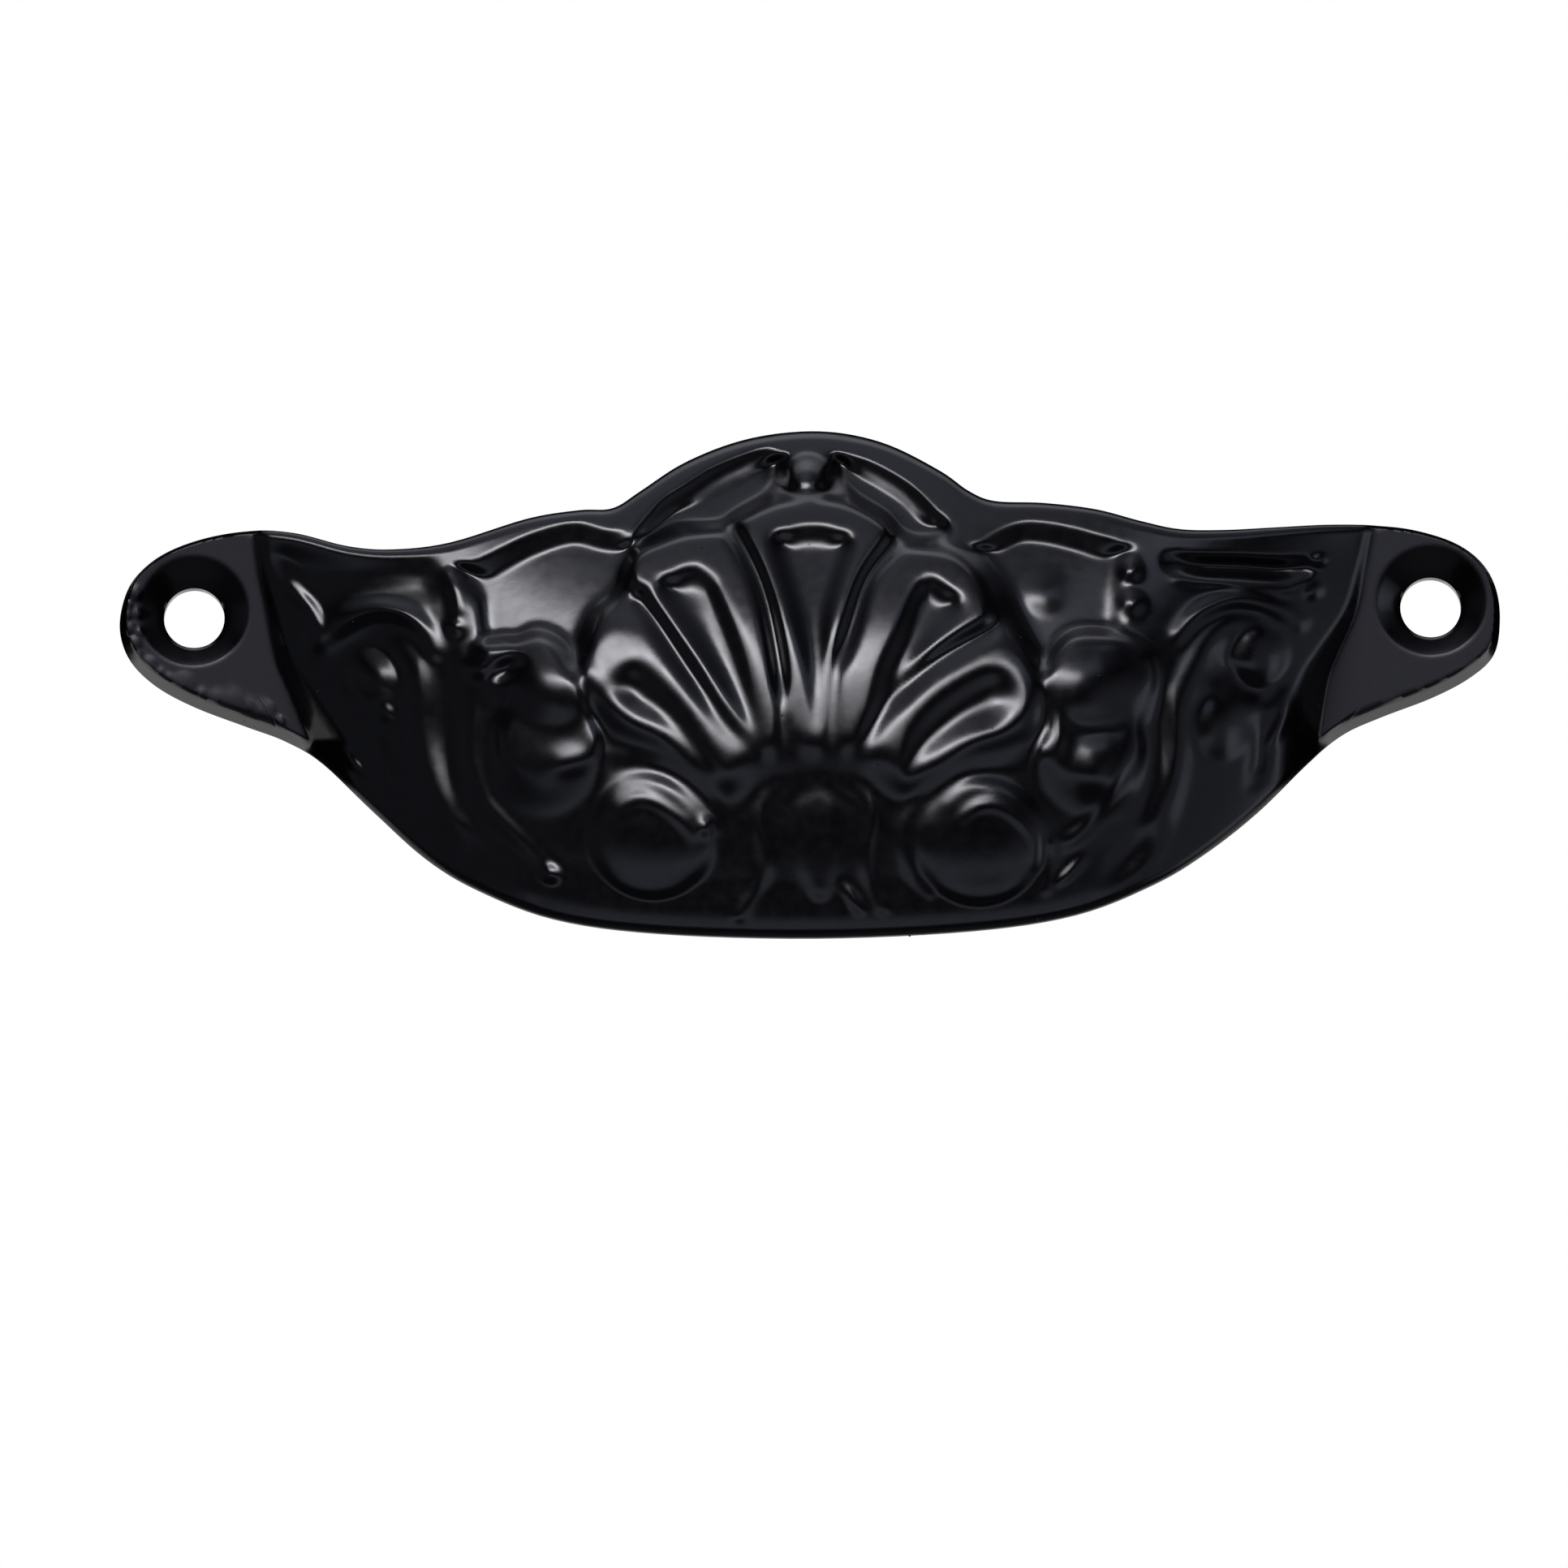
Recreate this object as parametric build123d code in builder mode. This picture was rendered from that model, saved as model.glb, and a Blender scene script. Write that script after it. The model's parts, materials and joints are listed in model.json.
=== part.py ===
"""Cast bin pull: a carved hood with a flat screw ear at each end, all one casting.

Frame: origin midway between the two screw holes on the wall plane, +X along the
pull, +Z up, the carved face towards -Y.  The carving is drawn on the draw plane,
whose axes are X and V and whose normal leans down from square to the wall.
"""

import math
import os

from build123d import *

# Screw ears
hole_spacing = 96.0
hole_diameter = 4.7
countersink_diameter = 8.8
countersink_angle = 100.0
ear_thickness = 3.0
ear_radius = 6.25
ear_draft = 10.0
ear_slope = 22.5
ear_shoulder = 6.9
ear_root = 4.0
ear_offset = Vector(-0.6, -0.3)

# Hood: its section, and the leaning flank where each end meets an ear
projection = 22.0
wall = 3.2
tilt = 9.0
carving_top = 13.0
crown_power = 2.2
flank_land = 6.0
flank_lean = 25.0
flank_height = 1.6
flank_power = 2.6
flank_splay = 1.1
flank_tuck = 3.0

# Outline of the hood on the draw plane
crown_height = 14.3
crown_width = 14.3
notch_height = 8.7
shoulder_height = 8.45
valley_height = 5.86
lip_drop = 24.9
corner_drop = 10.2

# Back of the casting
rim_width = 4.6
hollow_end = 5.6

# Carving
panel_depth = 1.2
panel_bevel = 1.2
rim_band = 1.9
field_rise = 0.65
lobe_rise = 1.5
flute_depth = 1.3
ridge_width = 2.4
ridge_rise = 1.0
ridge_sink = 1.05
lip_band = 2.0

# Directions of the draw plane
lean = math.radians(tilt)
OUTWARD = Vector(0, -math.cos(lean), -math.sin(lean))
UPWARD = Vector(0, -math.sin(lean), math.cos(lean))
DRAW = Plane(origin=(0, 0, 0), x_dir=(1, 0, 0), z_dir=OUTWARD)

# The hood's ends, and how far the blanks run past the outline that trims them
hole_x = hole_spacing / 2
flank_x = hole_x - flank_land
overrun = 2.0
deep = 4 * projection
both = (1, -1)


def turned(place, side):
    """The place, or its mirror image on the left half."""
    return (side * place[0], place[1])


def wall_height(v):
    """Height of the wall plane over the draw plane at V."""
    return -v * math.tan(lean)


def face_height(x, v):
    """Height of the hood's plain face over the draw plane at (x, v)."""
    ear_face = ear_thickness / math.cos(lean)
    lip_face = (projection + lip_drop * math.sin(lean)) / math.cos(lean)
    bulge = lip_face - ear_face - wall_height(-lip_drop) - flank_height
    across = 1 - (abs(x) / (flank_x - 1)) ** flank_power
    up = 1 - (abs(v + lip_drop) / (carving_top + lip_drop)) ** crown_power
    return ear_face + wall_height(v) + flank_height + bulge * across * up


def face_normal(x, v):
    """Normal of the plain face at (x, v), in the draw plane's own axes."""
    step = 0.1
    slope_x = (face_height(x + step, v) - face_height(x - step, v)) / (2 * step)
    slope_v = (face_height(x, v + step) - face_height(x, v - step)) / (2 * step)
    return Vector(-slope_x, -slope_v, 1).normalized()


def spot(x, v, lift=0.0):
    """Point over (x, v), lifted from the plain face along its normal."""
    foot = Vector(x, v, face_height(x, v))
    return DRAW.from_local_coords(foot + face_normal(x, v) * lift)


def blank(half, low, high, depth, section=Spline):
    """Solid from the wall to the plain face less depth, cut square at its ends."""
    stations = 8
    steps = 6
    with BuildPart() as solid:
        for i in range(stations + 1):
            x = half * (2 * i / stations - 1)
            rows = [low + (high - low) * j / steps for j in range(steps + 1)]
            with BuildSketch(Plane(origin=(x, 0, 0), x_dir=UPWARD, z_dir=(1, 0, 0))):
                with BuildLine():
                    face = section(*[(v, face_height(x, v) - depth) for v in rows])
                    corners = [(v, wall_height(v)) for v in (high, low)]
                    Polyline(face @ 1, *corners, face @ 0)
                make_face()
        loft()
    return solid.part


def drop(tail, head, tail_radius, head_radius):
    """Cone that grows from its tail to its head and ends there in a ball."""
    span = head - tail
    grow = math.asin((head_radius - tail_radius) / span.length)
    along, across = -math.sin(grow), math.cos(grow)
    tail_side = Vector(along, across) * tail_radius
    head_side = Vector(along, across) * head_radius + Vector(span.length, 0)
    bow = Vector(math.cos(math.radians(45)), math.sin(math.radians(45))) * head_radius
    end = (span.length + head_radius, 0)
    with BuildPart() as solid:
        with BuildSketch(Plane(origin=tail, x_dir=span, z_dir=span.cross(OUTWARD))):
            with BuildLine():
                Polyline((tail_side.X, 0), tail_side, head_side)
                ThreePointArc(head_side, bow + Vector(span.length, 0), end)
                Line(end, (tail_side.X, 0))
            make_face()
        revolve(axis=Axis(tail, span))
    return solid.part


def cap_radius(half_width, rise):
    """Radius of the ball whose cap has this half width and rise."""
    return (half_width**2 + rise**2) / (2 * rise)


def bead(x, v, half_width, rise):
    """Ball sunk in the face so that a cap of the given half width and rise shows."""
    radius = cap_radius(half_width, rise)
    with BuildPart() as solid:
        with Locations(spot(x, v, rise - radius)):
            Sphere(radius, rotation=(90, 90, 0))
    return solid.part


def swell(tail, head, tail_half, head_half, tail_rise, head_rise):
    """Drop sunk in the face, sized by the half width and rise that show at each end."""
    tail_radius = cap_radius(tail_half, tail_rise)
    head_radius = cap_radius(head_half, head_rise)
    tail_point = spot(*tail, tail_rise - tail_radius)
    head_point = spot(*head, head_rise - head_radius)
    return drop(tail_point, head_point, tail_radius, head_radius)


def flute(tail, head, tail_half, head_half):
    """Cone that cuts a tapered hollow into a lobe: it runs out at its tail."""
    tail_radius = cap_radius(tail_half, flute_depth / 2)
    head_radius = cap_radius(head_half, flute_depth)
    tail_point = spot(*tail, field_rise + tail_radius)
    head_point = spot(*head, lobe_rise - flute_depth + head_radius)
    span = head_point - tail_point
    with BuildPart() as solid:
        with Locations(Plane(origin=tail_point, z_dir=span)):
            upright = (Align.CENTER, Align.CENTER, Align.MIN)
            Cone(tail_radius, head_radius, span.length, align=upright)
    return solid.part


def rib(width, end_lift, start, middle, end):
    """Roof-shaped rib bent along an arc over the face, with its ends lifted by end_lift."""
    half = width / 2
    with BuildPart() as solid:
        with BuildLine() as path:
            arc = ThreePointArc(spot(*start, end_lift), spot(*middle), spot(*end, end_lift))
        across = (arc % 0).cross(spot(*start, 1) - spot(*start))
        with BuildSketch(Plane(origin=arc @ 0, x_dir=across, z_dir=arc % 0)):
            Polygon((-half, 0), (0, ridge_rise), (half, 0), (0, -ridge_rise), align=None)
        sweep(path=path.wire())
    return solid.part


def flank_plane(side):
    """Leaning plane of the hood's end, standing on the ear's face."""
    top_w = ear_thickness + wall_height(ear_shoulder)
    foot_w = ear_thickness + wall_height(-corner_drop)
    top = DRAW.from_local_coords((side * (flank_x + flank_splay), ear_shoulder, top_w))
    foot = DRAW.from_local_coords((side * (flank_x - flank_tuck), -corner_drop, foot_w))
    inward = Vector(-side * math.tan(math.radians(flank_lean)), 0, 0)
    outer = (top - foot).cross(OUTWARD + inward) * side
    return Plane(origin=top, z_dir=outer)


# Carving of the right half as places on the draw plane; the left half mirrors them.
# A lobe or flute has its tail, its head and the half width that shows at each.
fan_lobes = [
    ((0.0, -9.5), (0.0, 4.6), 2.6, 5.4),
    ((2.9, -9.5), (10.2, 1.9), 2.2, 4.2),
    ((5.2, -11.0), (14.4, -5.2), 2.0, 4.0),
]
fan_flutes = [
    ((0.2, -7.0), (0.0, 5.0), 0.7, 2.4),
    ((4.3, -8.8), (9.6, 1.4), 0.6, 1.8),
    ((7.6, -12.0), (14.0, -5.9), 0.6, 1.8),
]
fan_edge = [
    ((0.0, 9.1), (3.6, 8.3), (6.4, 5.2)),
    ((6.4, 5.2), (11.6, 4.3), (14.2, -0.6)),
    ((14.2, -0.6), (17.8, -4.6), (15.6, -9.6)),
]
fan_foot = [(7.2, -13.0), (4.6, -12.0), (0.0, -11.8)]

# Scrolls near an end keep their distance from the foot of the flank
volute_x = flank_x - 8.4
scrolls = [
    ((volute_x - 5.4, -1.8), (volute_x - 0.4, 0.9), (volute_x + 4.0, -1.0)),
    ((volute_x - 1.6, -2.4), (volute_x - 4.4, -9.0), (volute_x - 8.4, -19.0)),
    ((volute_x - 8.0, -5.6), (volute_x - 9.2, -12.2), (volute_x - 13.6, -18.2)),
    ((16.0, -11.0), (8.0, -14.4), (8.6, -20.6)),
]

# Two leaves and the boss of the lower scroll: place, half width and rise of each
lumps = [
    (21.8, -5.0, 3.8, 1.2),
    (21.0, -11.3, 3.4, 1.1),
    (12.4, -17.3, 4.4, 1.3),
]

# The pendant under the fan, and the ball on the crown
pendant_arch = ((-3.9, -19.6), (0.0, -13.0), (3.9, -19.6))
pendant_tongue = ((0.2, -20.8), (0.2, -15.4), 0.9, 1.5)
crown_ball = (0.0, crown_height - 3.6, 1.7, 0.9)

# Sunk panels of the right half: the upper edge of each as an arc, then its lower corners
panels_right = [
    (
        ((1.9, crown_height - rim_band), (7.8, notch_height + rim_band), (crown_width - 2.2, 7.3)),
        ((9.0, 3.7), (2.0, 6.7)),
    ),
    (
        (
            (crown_width + 0.4, shoulder_height - 2.4),
            (18.6, shoulder_height - rim_band + 0.4),
            (flank_x - 15.8, valley_height - 1.5),
        ),
        ((flank_x - 16.4, -3.0), (crown_width, -3.0)),
    ),
]
outer_groove = (
    (flank_x - 13.8, valley_height - 2.1),
    (flank_x - 8.5, valley_height - 2.4),
    (flank_x - 3.8, valley_height - 2.5),
)

# Lower outline of the hood, from the corner under an ear to the middle of the lip
lip_fall = lip_drop - corner_drop
lower_points = [
    (flank_x - 2.0, -corner_drop),
    (flank_x - 8.0, -corner_drop - 0.353 * lip_fall),
    (flank_x - 14.0, -corner_drop - 0.669 * lip_fall),
    (flank_x - 22.0, -corner_drop - 0.893 * lip_fall),
    (0.0, -lip_drop),
]

# Upper outline of the hood as arcs: crown, notch, shoulder and valley, then the ear's brow
crown_rise = crown_height - notch_height
crown_end = (0.87 * crown_width, notch_height + 0.22 * crown_rise)
shoulder = (crown_width + 2.4, shoulder_height)
valley_start = (flank_x - 17.6, valley_height + 1.38)
valley_end = (flank_x - 5.0, valley_height + 0.45)
upper_arcs = [
    ((0.0, crown_height), (0.56 * crown_width, notch_height + 0.68 * crown_rise), crown_end),
    (crown_end, (crown_width - 0.1, notch_height + 0.1), shoulder),
    (shoulder, (flank_x - 21.5, shoulder_height - 0.27), valley_start),
    (valley_start, (flank_x - 9.7, valley_height), valley_end),
]

plain_hood = blank(flank_x + overrun, -lip_drop - overrun, crown_height + 1.0, 0.0)
hollow_blank = blank(
    flank_x - hollow_end,
    -lip_drop - 2 * overrun,
    crown_height - rim_width,
    wall,
    section=Polyline,
)

with BuildPart() as hollow:
    add(hollow_blank)
    crown_radius = (crown_height + lip_drop) / 2
    with BuildSketch(DRAW.offset(-deep)):
        with Locations((0, crown_height - crown_radius)):
            Circle(crown_radius - rim_width)
        with Locations((0, valley_height - rim_width)):
            Rectangle(2 * flank_x, deep, align=(Align.CENTER, Align.MAX))
    extrude(amount=2 * deep, mode=Mode.INTERSECT)

with BuildPart() as panels:
    with BuildSketch(DRAW):
        for edge, foot in panels_right:
            with BuildLine():
                arch = ThreePointArc(*edge)
                Polyline(arch @ 1, *foot, arch @ 0)
            make_face()
        mirror(about=Plane.YZ)
    extrude(amount=deep)
    add(plain_hood.moved(Location(OUTWARD * -panel_depth)), mode=Mode.SUBTRACT)

with BuildPart() as fields:
    add(plain_hood.moved(Location(OUTWARD * field_rise)))
    with BuildSketch(DRAW.offset(-deep)):
        with BuildLine():
            band_points = [(x, v + lip_band) for x, v in lower_points[2:]]
            band = Spline(*band_points, tangents=[(-1, -0.6), (-1, 0)])
            below = -lip_drop - overrun
            Polyline(band @ 0, (lower_points[2][0], below), (0, below))
            mirror(about=Plane.YZ)
        make_face()
        with BuildLine():
            for arc in fan_edge:
                ThreePointArc(*arc)
            Polyline(fan_edge[-1][2], *fan_foot)
            mirror(about=Plane.YZ)
        make_face()
    extrude(amount=2 * deep, mode=Mode.INTERSECT)

# Every raised form, every groove that sinks a panel's edge, and every flute
raised = [
    swell(*fan_lobes[0], field_rise / 2, lobe_rise),
    bead(*crown_ball),
    rib(ridge_width, -ridge_sink, *pendant_arch),
    swell(*pendant_tongue, field_rise / 2, ridge_rise),
]
flutes = [flute(*fan_flutes[0])]
grooves = []
for side in both:
    for tail, head, tail_half, head_half in fan_lobes[1:]:
        ends = (turned(tail, side), turned(head, side))
        raised.append(swell(*ends, tail_half, head_half, field_rise / 2, lobe_rise))
    for tail, head, tail_half, head_half in fan_flutes[1:]:
        flutes.append(flute(turned(tail, side), turned(head, side), tail_half, head_half))
    for edge in [edge for edge, foot in panels_right] + [outer_groove]:
        grooves.append(rib(2 * panel_bevel, ridge_rise, *[turned(place, side) for place in edge]))
    for places in scrolls:
        raised.append(rib(ridge_width, -ridge_sink, *[turned(place, side) for place in places]))
    for x, v, half_width, rise in lumps:
        raised.append(bead(side * x, v, half_width, rise))

with BuildPart() as bin_pull:
    # Hood with its carving, trimmed by the wall, the flanks and the outline
    add(plain_hood)
    add(panels.part, mode=Mode.SUBTRACT)
    add(grooves, mode=Mode.SUBTRACT)
    add(fields.part)
    add(raised)
    add(flutes, mode=Mode.SUBTRACT)
    split(bisect_by=Plane.XZ, keep=Keep.TOP)
    for side in both:
        split(bisect_by=flank_plane(side), keep=Keep.BOTTOM)
    with BuildSketch(DRAW.offset(-deep)):
        with BuildLine():
            arcs = [ThreePointArc(*places) for places in upper_arcs]
            brow_start = TangentArc(valley_end, (flank_x + 2.0, ear_shoulder), tangent=arcs[-1] % 1)
            lower = Spline(*lower_points, tangents=[(-1, -1), (-1, 0)])
            Line(brow_start @ 1, lower @ 0)
            mirror(about=Plane.YZ)
        make_face()
    extrude(amount=2 * deep, mode=Mode.INTERSECT)

    # Screw ears, drafted plates that run into the hood
    slope = math.radians(ear_slope)
    turn = math.radians(60)
    centre = Vector(hole_x, 0) + ear_offset
    under = centre + Vector(math.sin(slope), -math.cos(slope)) * ear_radius
    tip = centre + Vector(ear_radius, 0)
    over = centre + Vector(math.cos(turn), math.sin(turn)) * ear_radius
    brow_end = (flank_x + 1.0, ear_shoulder)
    root_x = flank_x - ear_root
    root_drop = under.Y - (under.X - root_x) * math.tan(slope)
    with BuildSketch(Plane.XZ):
        with BuildLine():
            Line((root_x, root_drop), under)
            ThreePointArc(under, tip, over)
            brow = TangentArc(over, brow_end, tangent=(-math.sin(turn), math.cos(turn)))
            Polyline(brow @ 1, (root_x, ear_shoulder - 0.7), (root_x, root_drop))
        make_face()
        mirror(about=Plane.YZ)
    extrude(amount=ear_thickness, taper=ear_draft)

    # Finger hollow from behind, then the screw holes
    add(hollow.part, mode=Mode.SUBTRACT)
    ear_faces = [Plane(origin=(side * hole_x, -ear_thickness, 0), z_dir=(0, -1, 0)) for side in both]
    with Locations(*ear_faces):
        CounterSinkHole(
            radius=hole_diameter / 2,
            counter_sink_radius=countersink_diameter / 2,
            depth=2 * ear_thickness,
            counter_sink_angle=countersink_angle,
        )

os.makedirs("parts", exist_ok=True)
bin_pull.part.label = "bin_pull"
export_step(bin_pull.part, "parts/bin_pull.step")
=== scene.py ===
import json
import logging
import math
from dataclasses import dataclass
from enum import Enum
from typing import Any, Sequence

import bmesh
import bpy
import numpy as np
from mathutils import Matrix, Vector


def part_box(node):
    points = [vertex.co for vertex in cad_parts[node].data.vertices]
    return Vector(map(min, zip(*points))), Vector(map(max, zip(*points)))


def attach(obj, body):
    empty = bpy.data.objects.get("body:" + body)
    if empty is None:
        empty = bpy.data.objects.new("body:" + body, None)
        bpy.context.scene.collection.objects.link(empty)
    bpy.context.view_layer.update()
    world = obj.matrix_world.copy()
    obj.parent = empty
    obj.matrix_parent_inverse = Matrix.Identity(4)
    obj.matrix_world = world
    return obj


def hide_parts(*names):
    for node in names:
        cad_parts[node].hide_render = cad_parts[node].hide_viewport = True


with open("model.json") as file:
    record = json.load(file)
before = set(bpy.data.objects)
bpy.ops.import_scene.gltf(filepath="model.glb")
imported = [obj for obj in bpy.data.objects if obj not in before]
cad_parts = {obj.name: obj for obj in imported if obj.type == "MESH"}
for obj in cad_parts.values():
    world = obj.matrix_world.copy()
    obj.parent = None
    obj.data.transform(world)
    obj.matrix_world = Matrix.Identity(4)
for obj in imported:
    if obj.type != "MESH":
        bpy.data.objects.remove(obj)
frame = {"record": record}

LOG = logging.getLogger("bin_pull")
# Sizes of the pull are in millimetres, x along it and v up the draw plane from midway between its screw
# holes, and those of the studio are in metres
MM = 0.001
Point = tuple[float, float]
Array = np.ndarray
# How far the lip band stands out of the plain hood, in millimetres
LIP_BAND_STANDS = 0.66
# Thickness of the screw ears, from which the hood's flanks start
EAR_THICKNESS = 3.0
# Place, size and rise of the lumps of paint round the left ear, in millimetres
LEFT_EAR_LUMPS = (
    (-52.6, 2.2, 0.7, 0.3), (-53.1, 1.3, 0.5, 0.25), (-53.2, 0.5, 0.6, 0.3), (-52.3, 0.6, 0.5, 0.2),
    (-53.0, -0.5, 0.6, 0.25), (-52.2, -0.9, 0.45, 0.2), (-52.6, -1.7, 0.7, 0.3), (-52.3, -2.6, 0.5, 0.25),
    (-51.5, -3.4, 0.8, 0.25), (-50.6, -4.0, 0.5, 0.2), (-50.0, -4.6, 0.7, 0.2), (-48.8, -4.9, 1.1, 0.2),
    (-47.4, -5.7, 0.6, 0.2), (-46.2, -6.1, 0.9, 0.2), (-45.0, -6.2, 1.1, 0.2), (-43.6, -6.6, 0.6, 0.2),
    (-42.4, -7.0, 0.9, 0.25), (-41.4, -7.9, 0.6, 0.25),
)  # fmt: skip


class Side(Enum):
    """Halves of the pull, seen from the front."""

    LEFT = -1
    RIGHT = 1


def linear(code: str) -> tuple[float, float, float, float]:
    """Turns an sRGB hex colour into linear values.

    Args:
        code: colour such as "#0A0A0C".

    Returns:
        Linear red, green and blue, and an alpha of 1.
    """
    parts = [int(code[i : i + 2], 16) / 255 for i in (1, 3, 5)]
    red, green, blue = (c / 12.92 if c <= 0.04045 else ((c + 0.055) / 1.055) ** 2.4 for c in parts)
    return red, green, blue, 1.0


def add_node(
    tree: bpy.types.NodeTree, kind: str, settings: dict[str, Any] | None = None, **links: Any
) -> bpy.types.Node:
    """Adds a node with its settings and inputs.

    Args:
        tree: node tree that takes the node.
        kind: Blender's name of the node type.
        settings: attributes of the node to set.
        links: inputs by identifier, with _ for a blank, or by name; an output, or a node for its first
            output, is linked, and a value is set.

    Returns:
        The new node.
    """
    node = tree.nodes.new(kind)
    for name, value in (settings or {}).items():
        setattr(node, name, value)
    for name, value in links.items():
        socket = next(s for s in node.inputs if name in (s.identifier.replace(" ", "_"), s.name))
        if isinstance(value, bpy.types.Node):
            value = value.outputs[0]
        if isinstance(value, bpy.types.NodeSocket):
            tree.links.new(value, socket)
        else:
            socket.default_value = value
    return node


def empty_tree(owner: bpy.types.Material | bpy.types.World) -> bpy.types.NodeTree:
    """Turns on the nodes of a material or a world and clears them.

    Args:
        owner: the new material or world.

    Returns:
        Its empty node tree.
    """
    owner.use_nodes = True
    owner.node_tree.nodes.clear()
    return owner.node_tree


def add_object(name: str, data: bpy.types.ID) -> bpy.types.Object:
    """Adds an object to the scene, at the origin.

    Args:
        name: name of the object.
        data: its mesh, light or camera.

    Returns:
        The object.
    """
    made = bpy.data.objects.new(name, data)
    bpy.context.scene.collection.objects.link(made)
    return made


def ease(t: Array) -> Array:
    """Smooth step from 0 to 1."""
    t = np.clip(t, 0.0, 1.0)
    return t * t * (3 - 2 * t)


def soft_min(a: Array, b: Array, blend: float) -> Array:
    """Lesser of two heights with a rounded meeting line.

    Args:
        a: first heights.
        b: second heights.
        blend: difference in height over which they run together.

    Returns:
        Blended heights.
    """
    h = np.clip(1 - np.abs(a - b) / blend, 0, 1)
    return np.minimum(a, b) - h * h * blend / 4


def soft_max(a: Array, b: Array, blend: float) -> Array:
    """Greater of two heights with a rounded meeting line, as soft_min."""
    return -soft_min(-a, -b, blend)


def curve(points: Sequence[Point], closed: bool = False, steps: int = 6) -> Array:
    """Smooth curve through given points.

    Args:
        points: places on the draw plane.
        closed: whether the curve runs back to its start.
        steps: samples between two points.

    Returns:
        Samples along the curve, one row each.
    """
    p = np.asarray(points, float)
    if closed:
        p = np.vstack([p[-1:], p, p[:2]])
    else:
        p = np.vstack([2 * p[0] - p[1], p, 2 * p[-1] - p[-2]])
    t = np.linspace(0, 1, steps, endpoint=False)[None, :, None]
    a, b, c, d = (p[i : len(p) - 3 + i, None, :] for i in range(4))
    bend = 2 * b + (c - a) * t + (2 * a - 5 * b + 4 * c - d) * t**2 + (3 * b - a - 3 * c + d) * t**3
    line = bend.reshape(-1, 2) / 2
    return line if closed else np.vstack([line, p[-2]])


def nearest(line: Array, x: Array, v: Array) -> tuple[Array, Array]:
    """Distance of places from a line.

    Args:
        line: samples of the line.
        x: places along the pull.
        v: places up the draw plane.

    Returns:
        Distance, and the place of the nearest point along the line counted in samples.
    """
    best = np.full(x.shape, 1e9)
    along = np.zeros(x.shape)
    for i, ((ax, av), (bx, bv)) in enumerate(zip(line[:-1], line[1:])):
        dx, dv = bx - ax, bv - av
        t = np.clip(((x - ax) * dx + (v - av) * dv) / (dx * dx + dv * dv + 1e-12), 0, 1)
        gap = (x - ax - t * dx) ** 2 + (v - av - t * dv) ** 2
        closer = gap < best
        best = np.where(closer, gap, best)
        along = np.where(closer, i + t, along)
    return np.sqrt(best), along


def inside(line: Array, x: Array, v: Array) -> Array:
    """Whether places lie inside a closed line.

    Args:
        line: samples of the closed line.
        x: places along the pull.
        v: places up the draw plane.

    Returns:
        True where a place is inside.
    """
    hit = np.zeros(x.shape, bool)
    for (ax, av), (bx, bv) in zip(line, np.roll(line, -1, axis=0)):
        if av != bv:
            hit ^= ((av > v) != (bv > v)) & (x < ax + (v - av) / (bv - av) * (bx - ax))
    return hit


@dataclass(frozen=True)
class Stroke:
    """Ridge or groove along a curve; a negative rise sinks it.

    The ends give the strength left at the start and at the end, and the fade is the share of the length
    over which it goes there. The bulge is how far the curve may pass its points.
    """

    points: tuple[Point, ...]
    half: float
    rise: float
    soft: float = 0.0
    ends: Point = (0.5, 0.5)
    fade: float = 0.3
    bulge: float = 0.6

    def reach(self) -> Array:
        """Lowest and highest place that the form touches."""
        p = np.asarray(self.points)
        return np.array([p.min(0) - self.half - self.bulge, p.max(0) + self.half + self.bulge])

    def height(self, x: Array, v: Array) -> Array:
        """Height of the form.

        Args:
            x: places along the pull.
            v: places up the draw plane.

        Returns:
            Heights over the plain face.
        """
        line = curve(self.points)
        gap, along = nearest(line, x, v)
        t = along / (len(line) - 1)
        start, end = self.ends
        first = start + (1 - start) * ease(t / self.fade)
        last = end + (1 - end) * ease((1 - t) / self.fade)
        return self.rise * (first * last) * ease((self.half - gap) / (self.soft or self.half))


@dataclass(frozen=True)
class Patch:
    """Raised or sunk field with a sloping edge, which may fade towards a root.

    A brow is a wall inside the field's top, given by its width and its bend (1 straight, 2 hollow). A sill
    is the width of the slope at the bottom. A straight field has plain walls inside its outline. The bulge
    is how far the outline may pass its points.
    """

    points: tuple[Point, ...]
    rise: float
    edge: float
    root: Point | None = None
    far: float = 16.0
    keep: float = 0.3
    brow: Point | None = None
    brow_blend: float = 0.7
    sill: float = 0.0
    straight: bool = False
    bulge: float = 0.8

    def reach(self) -> Array:
        """Lowest and highest place that the form touches."""
        p, wide = np.asarray(self.points), max(self.edge, self.sill) + self.bulge
        return np.array([p.min(0) - wide, p.max(0) + wide])

    def height(self, x: Array, v: Array) -> Array:
        """Height of the form.

        Args:
            x: places along the pull.
            v: places up the draw plane.

        Returns:
            Heights over the plain face.
        """
        line = curve(self.points, closed=True)
        loop = np.vstack([line, line[:1]])
        gap, along = nearest(loop, x, v)
        sign = np.where(inside(line, x, v), 1, -1)
        depth = sign * gap
        above = sign * (np.interp(along, np.arange(len(loop)), loop[:, 1]) - v) / (gap + 1e-6)
        edge = self.edge + ((self.sill or self.edge) - self.edge) * ease(-above)
        shape = np.clip(depth / edge, 0, 1) if self.straight else ease(0.5 + depth / edge)
        if self.brow:
            wall = 1 - (1 - np.clip(depth / self.brow[0], 0, 1)) ** self.brow[1]
            shape = shape + (wall - shape) * ease(above / self.brow_blend)
        rise = self.rise * shape
        if self.root:
            away = np.hypot(x - self.root[0], v - self.root[1])
            rise = rise * (self.keep + (1 - self.keep) * ease(away / self.far))
        return rise


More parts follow.
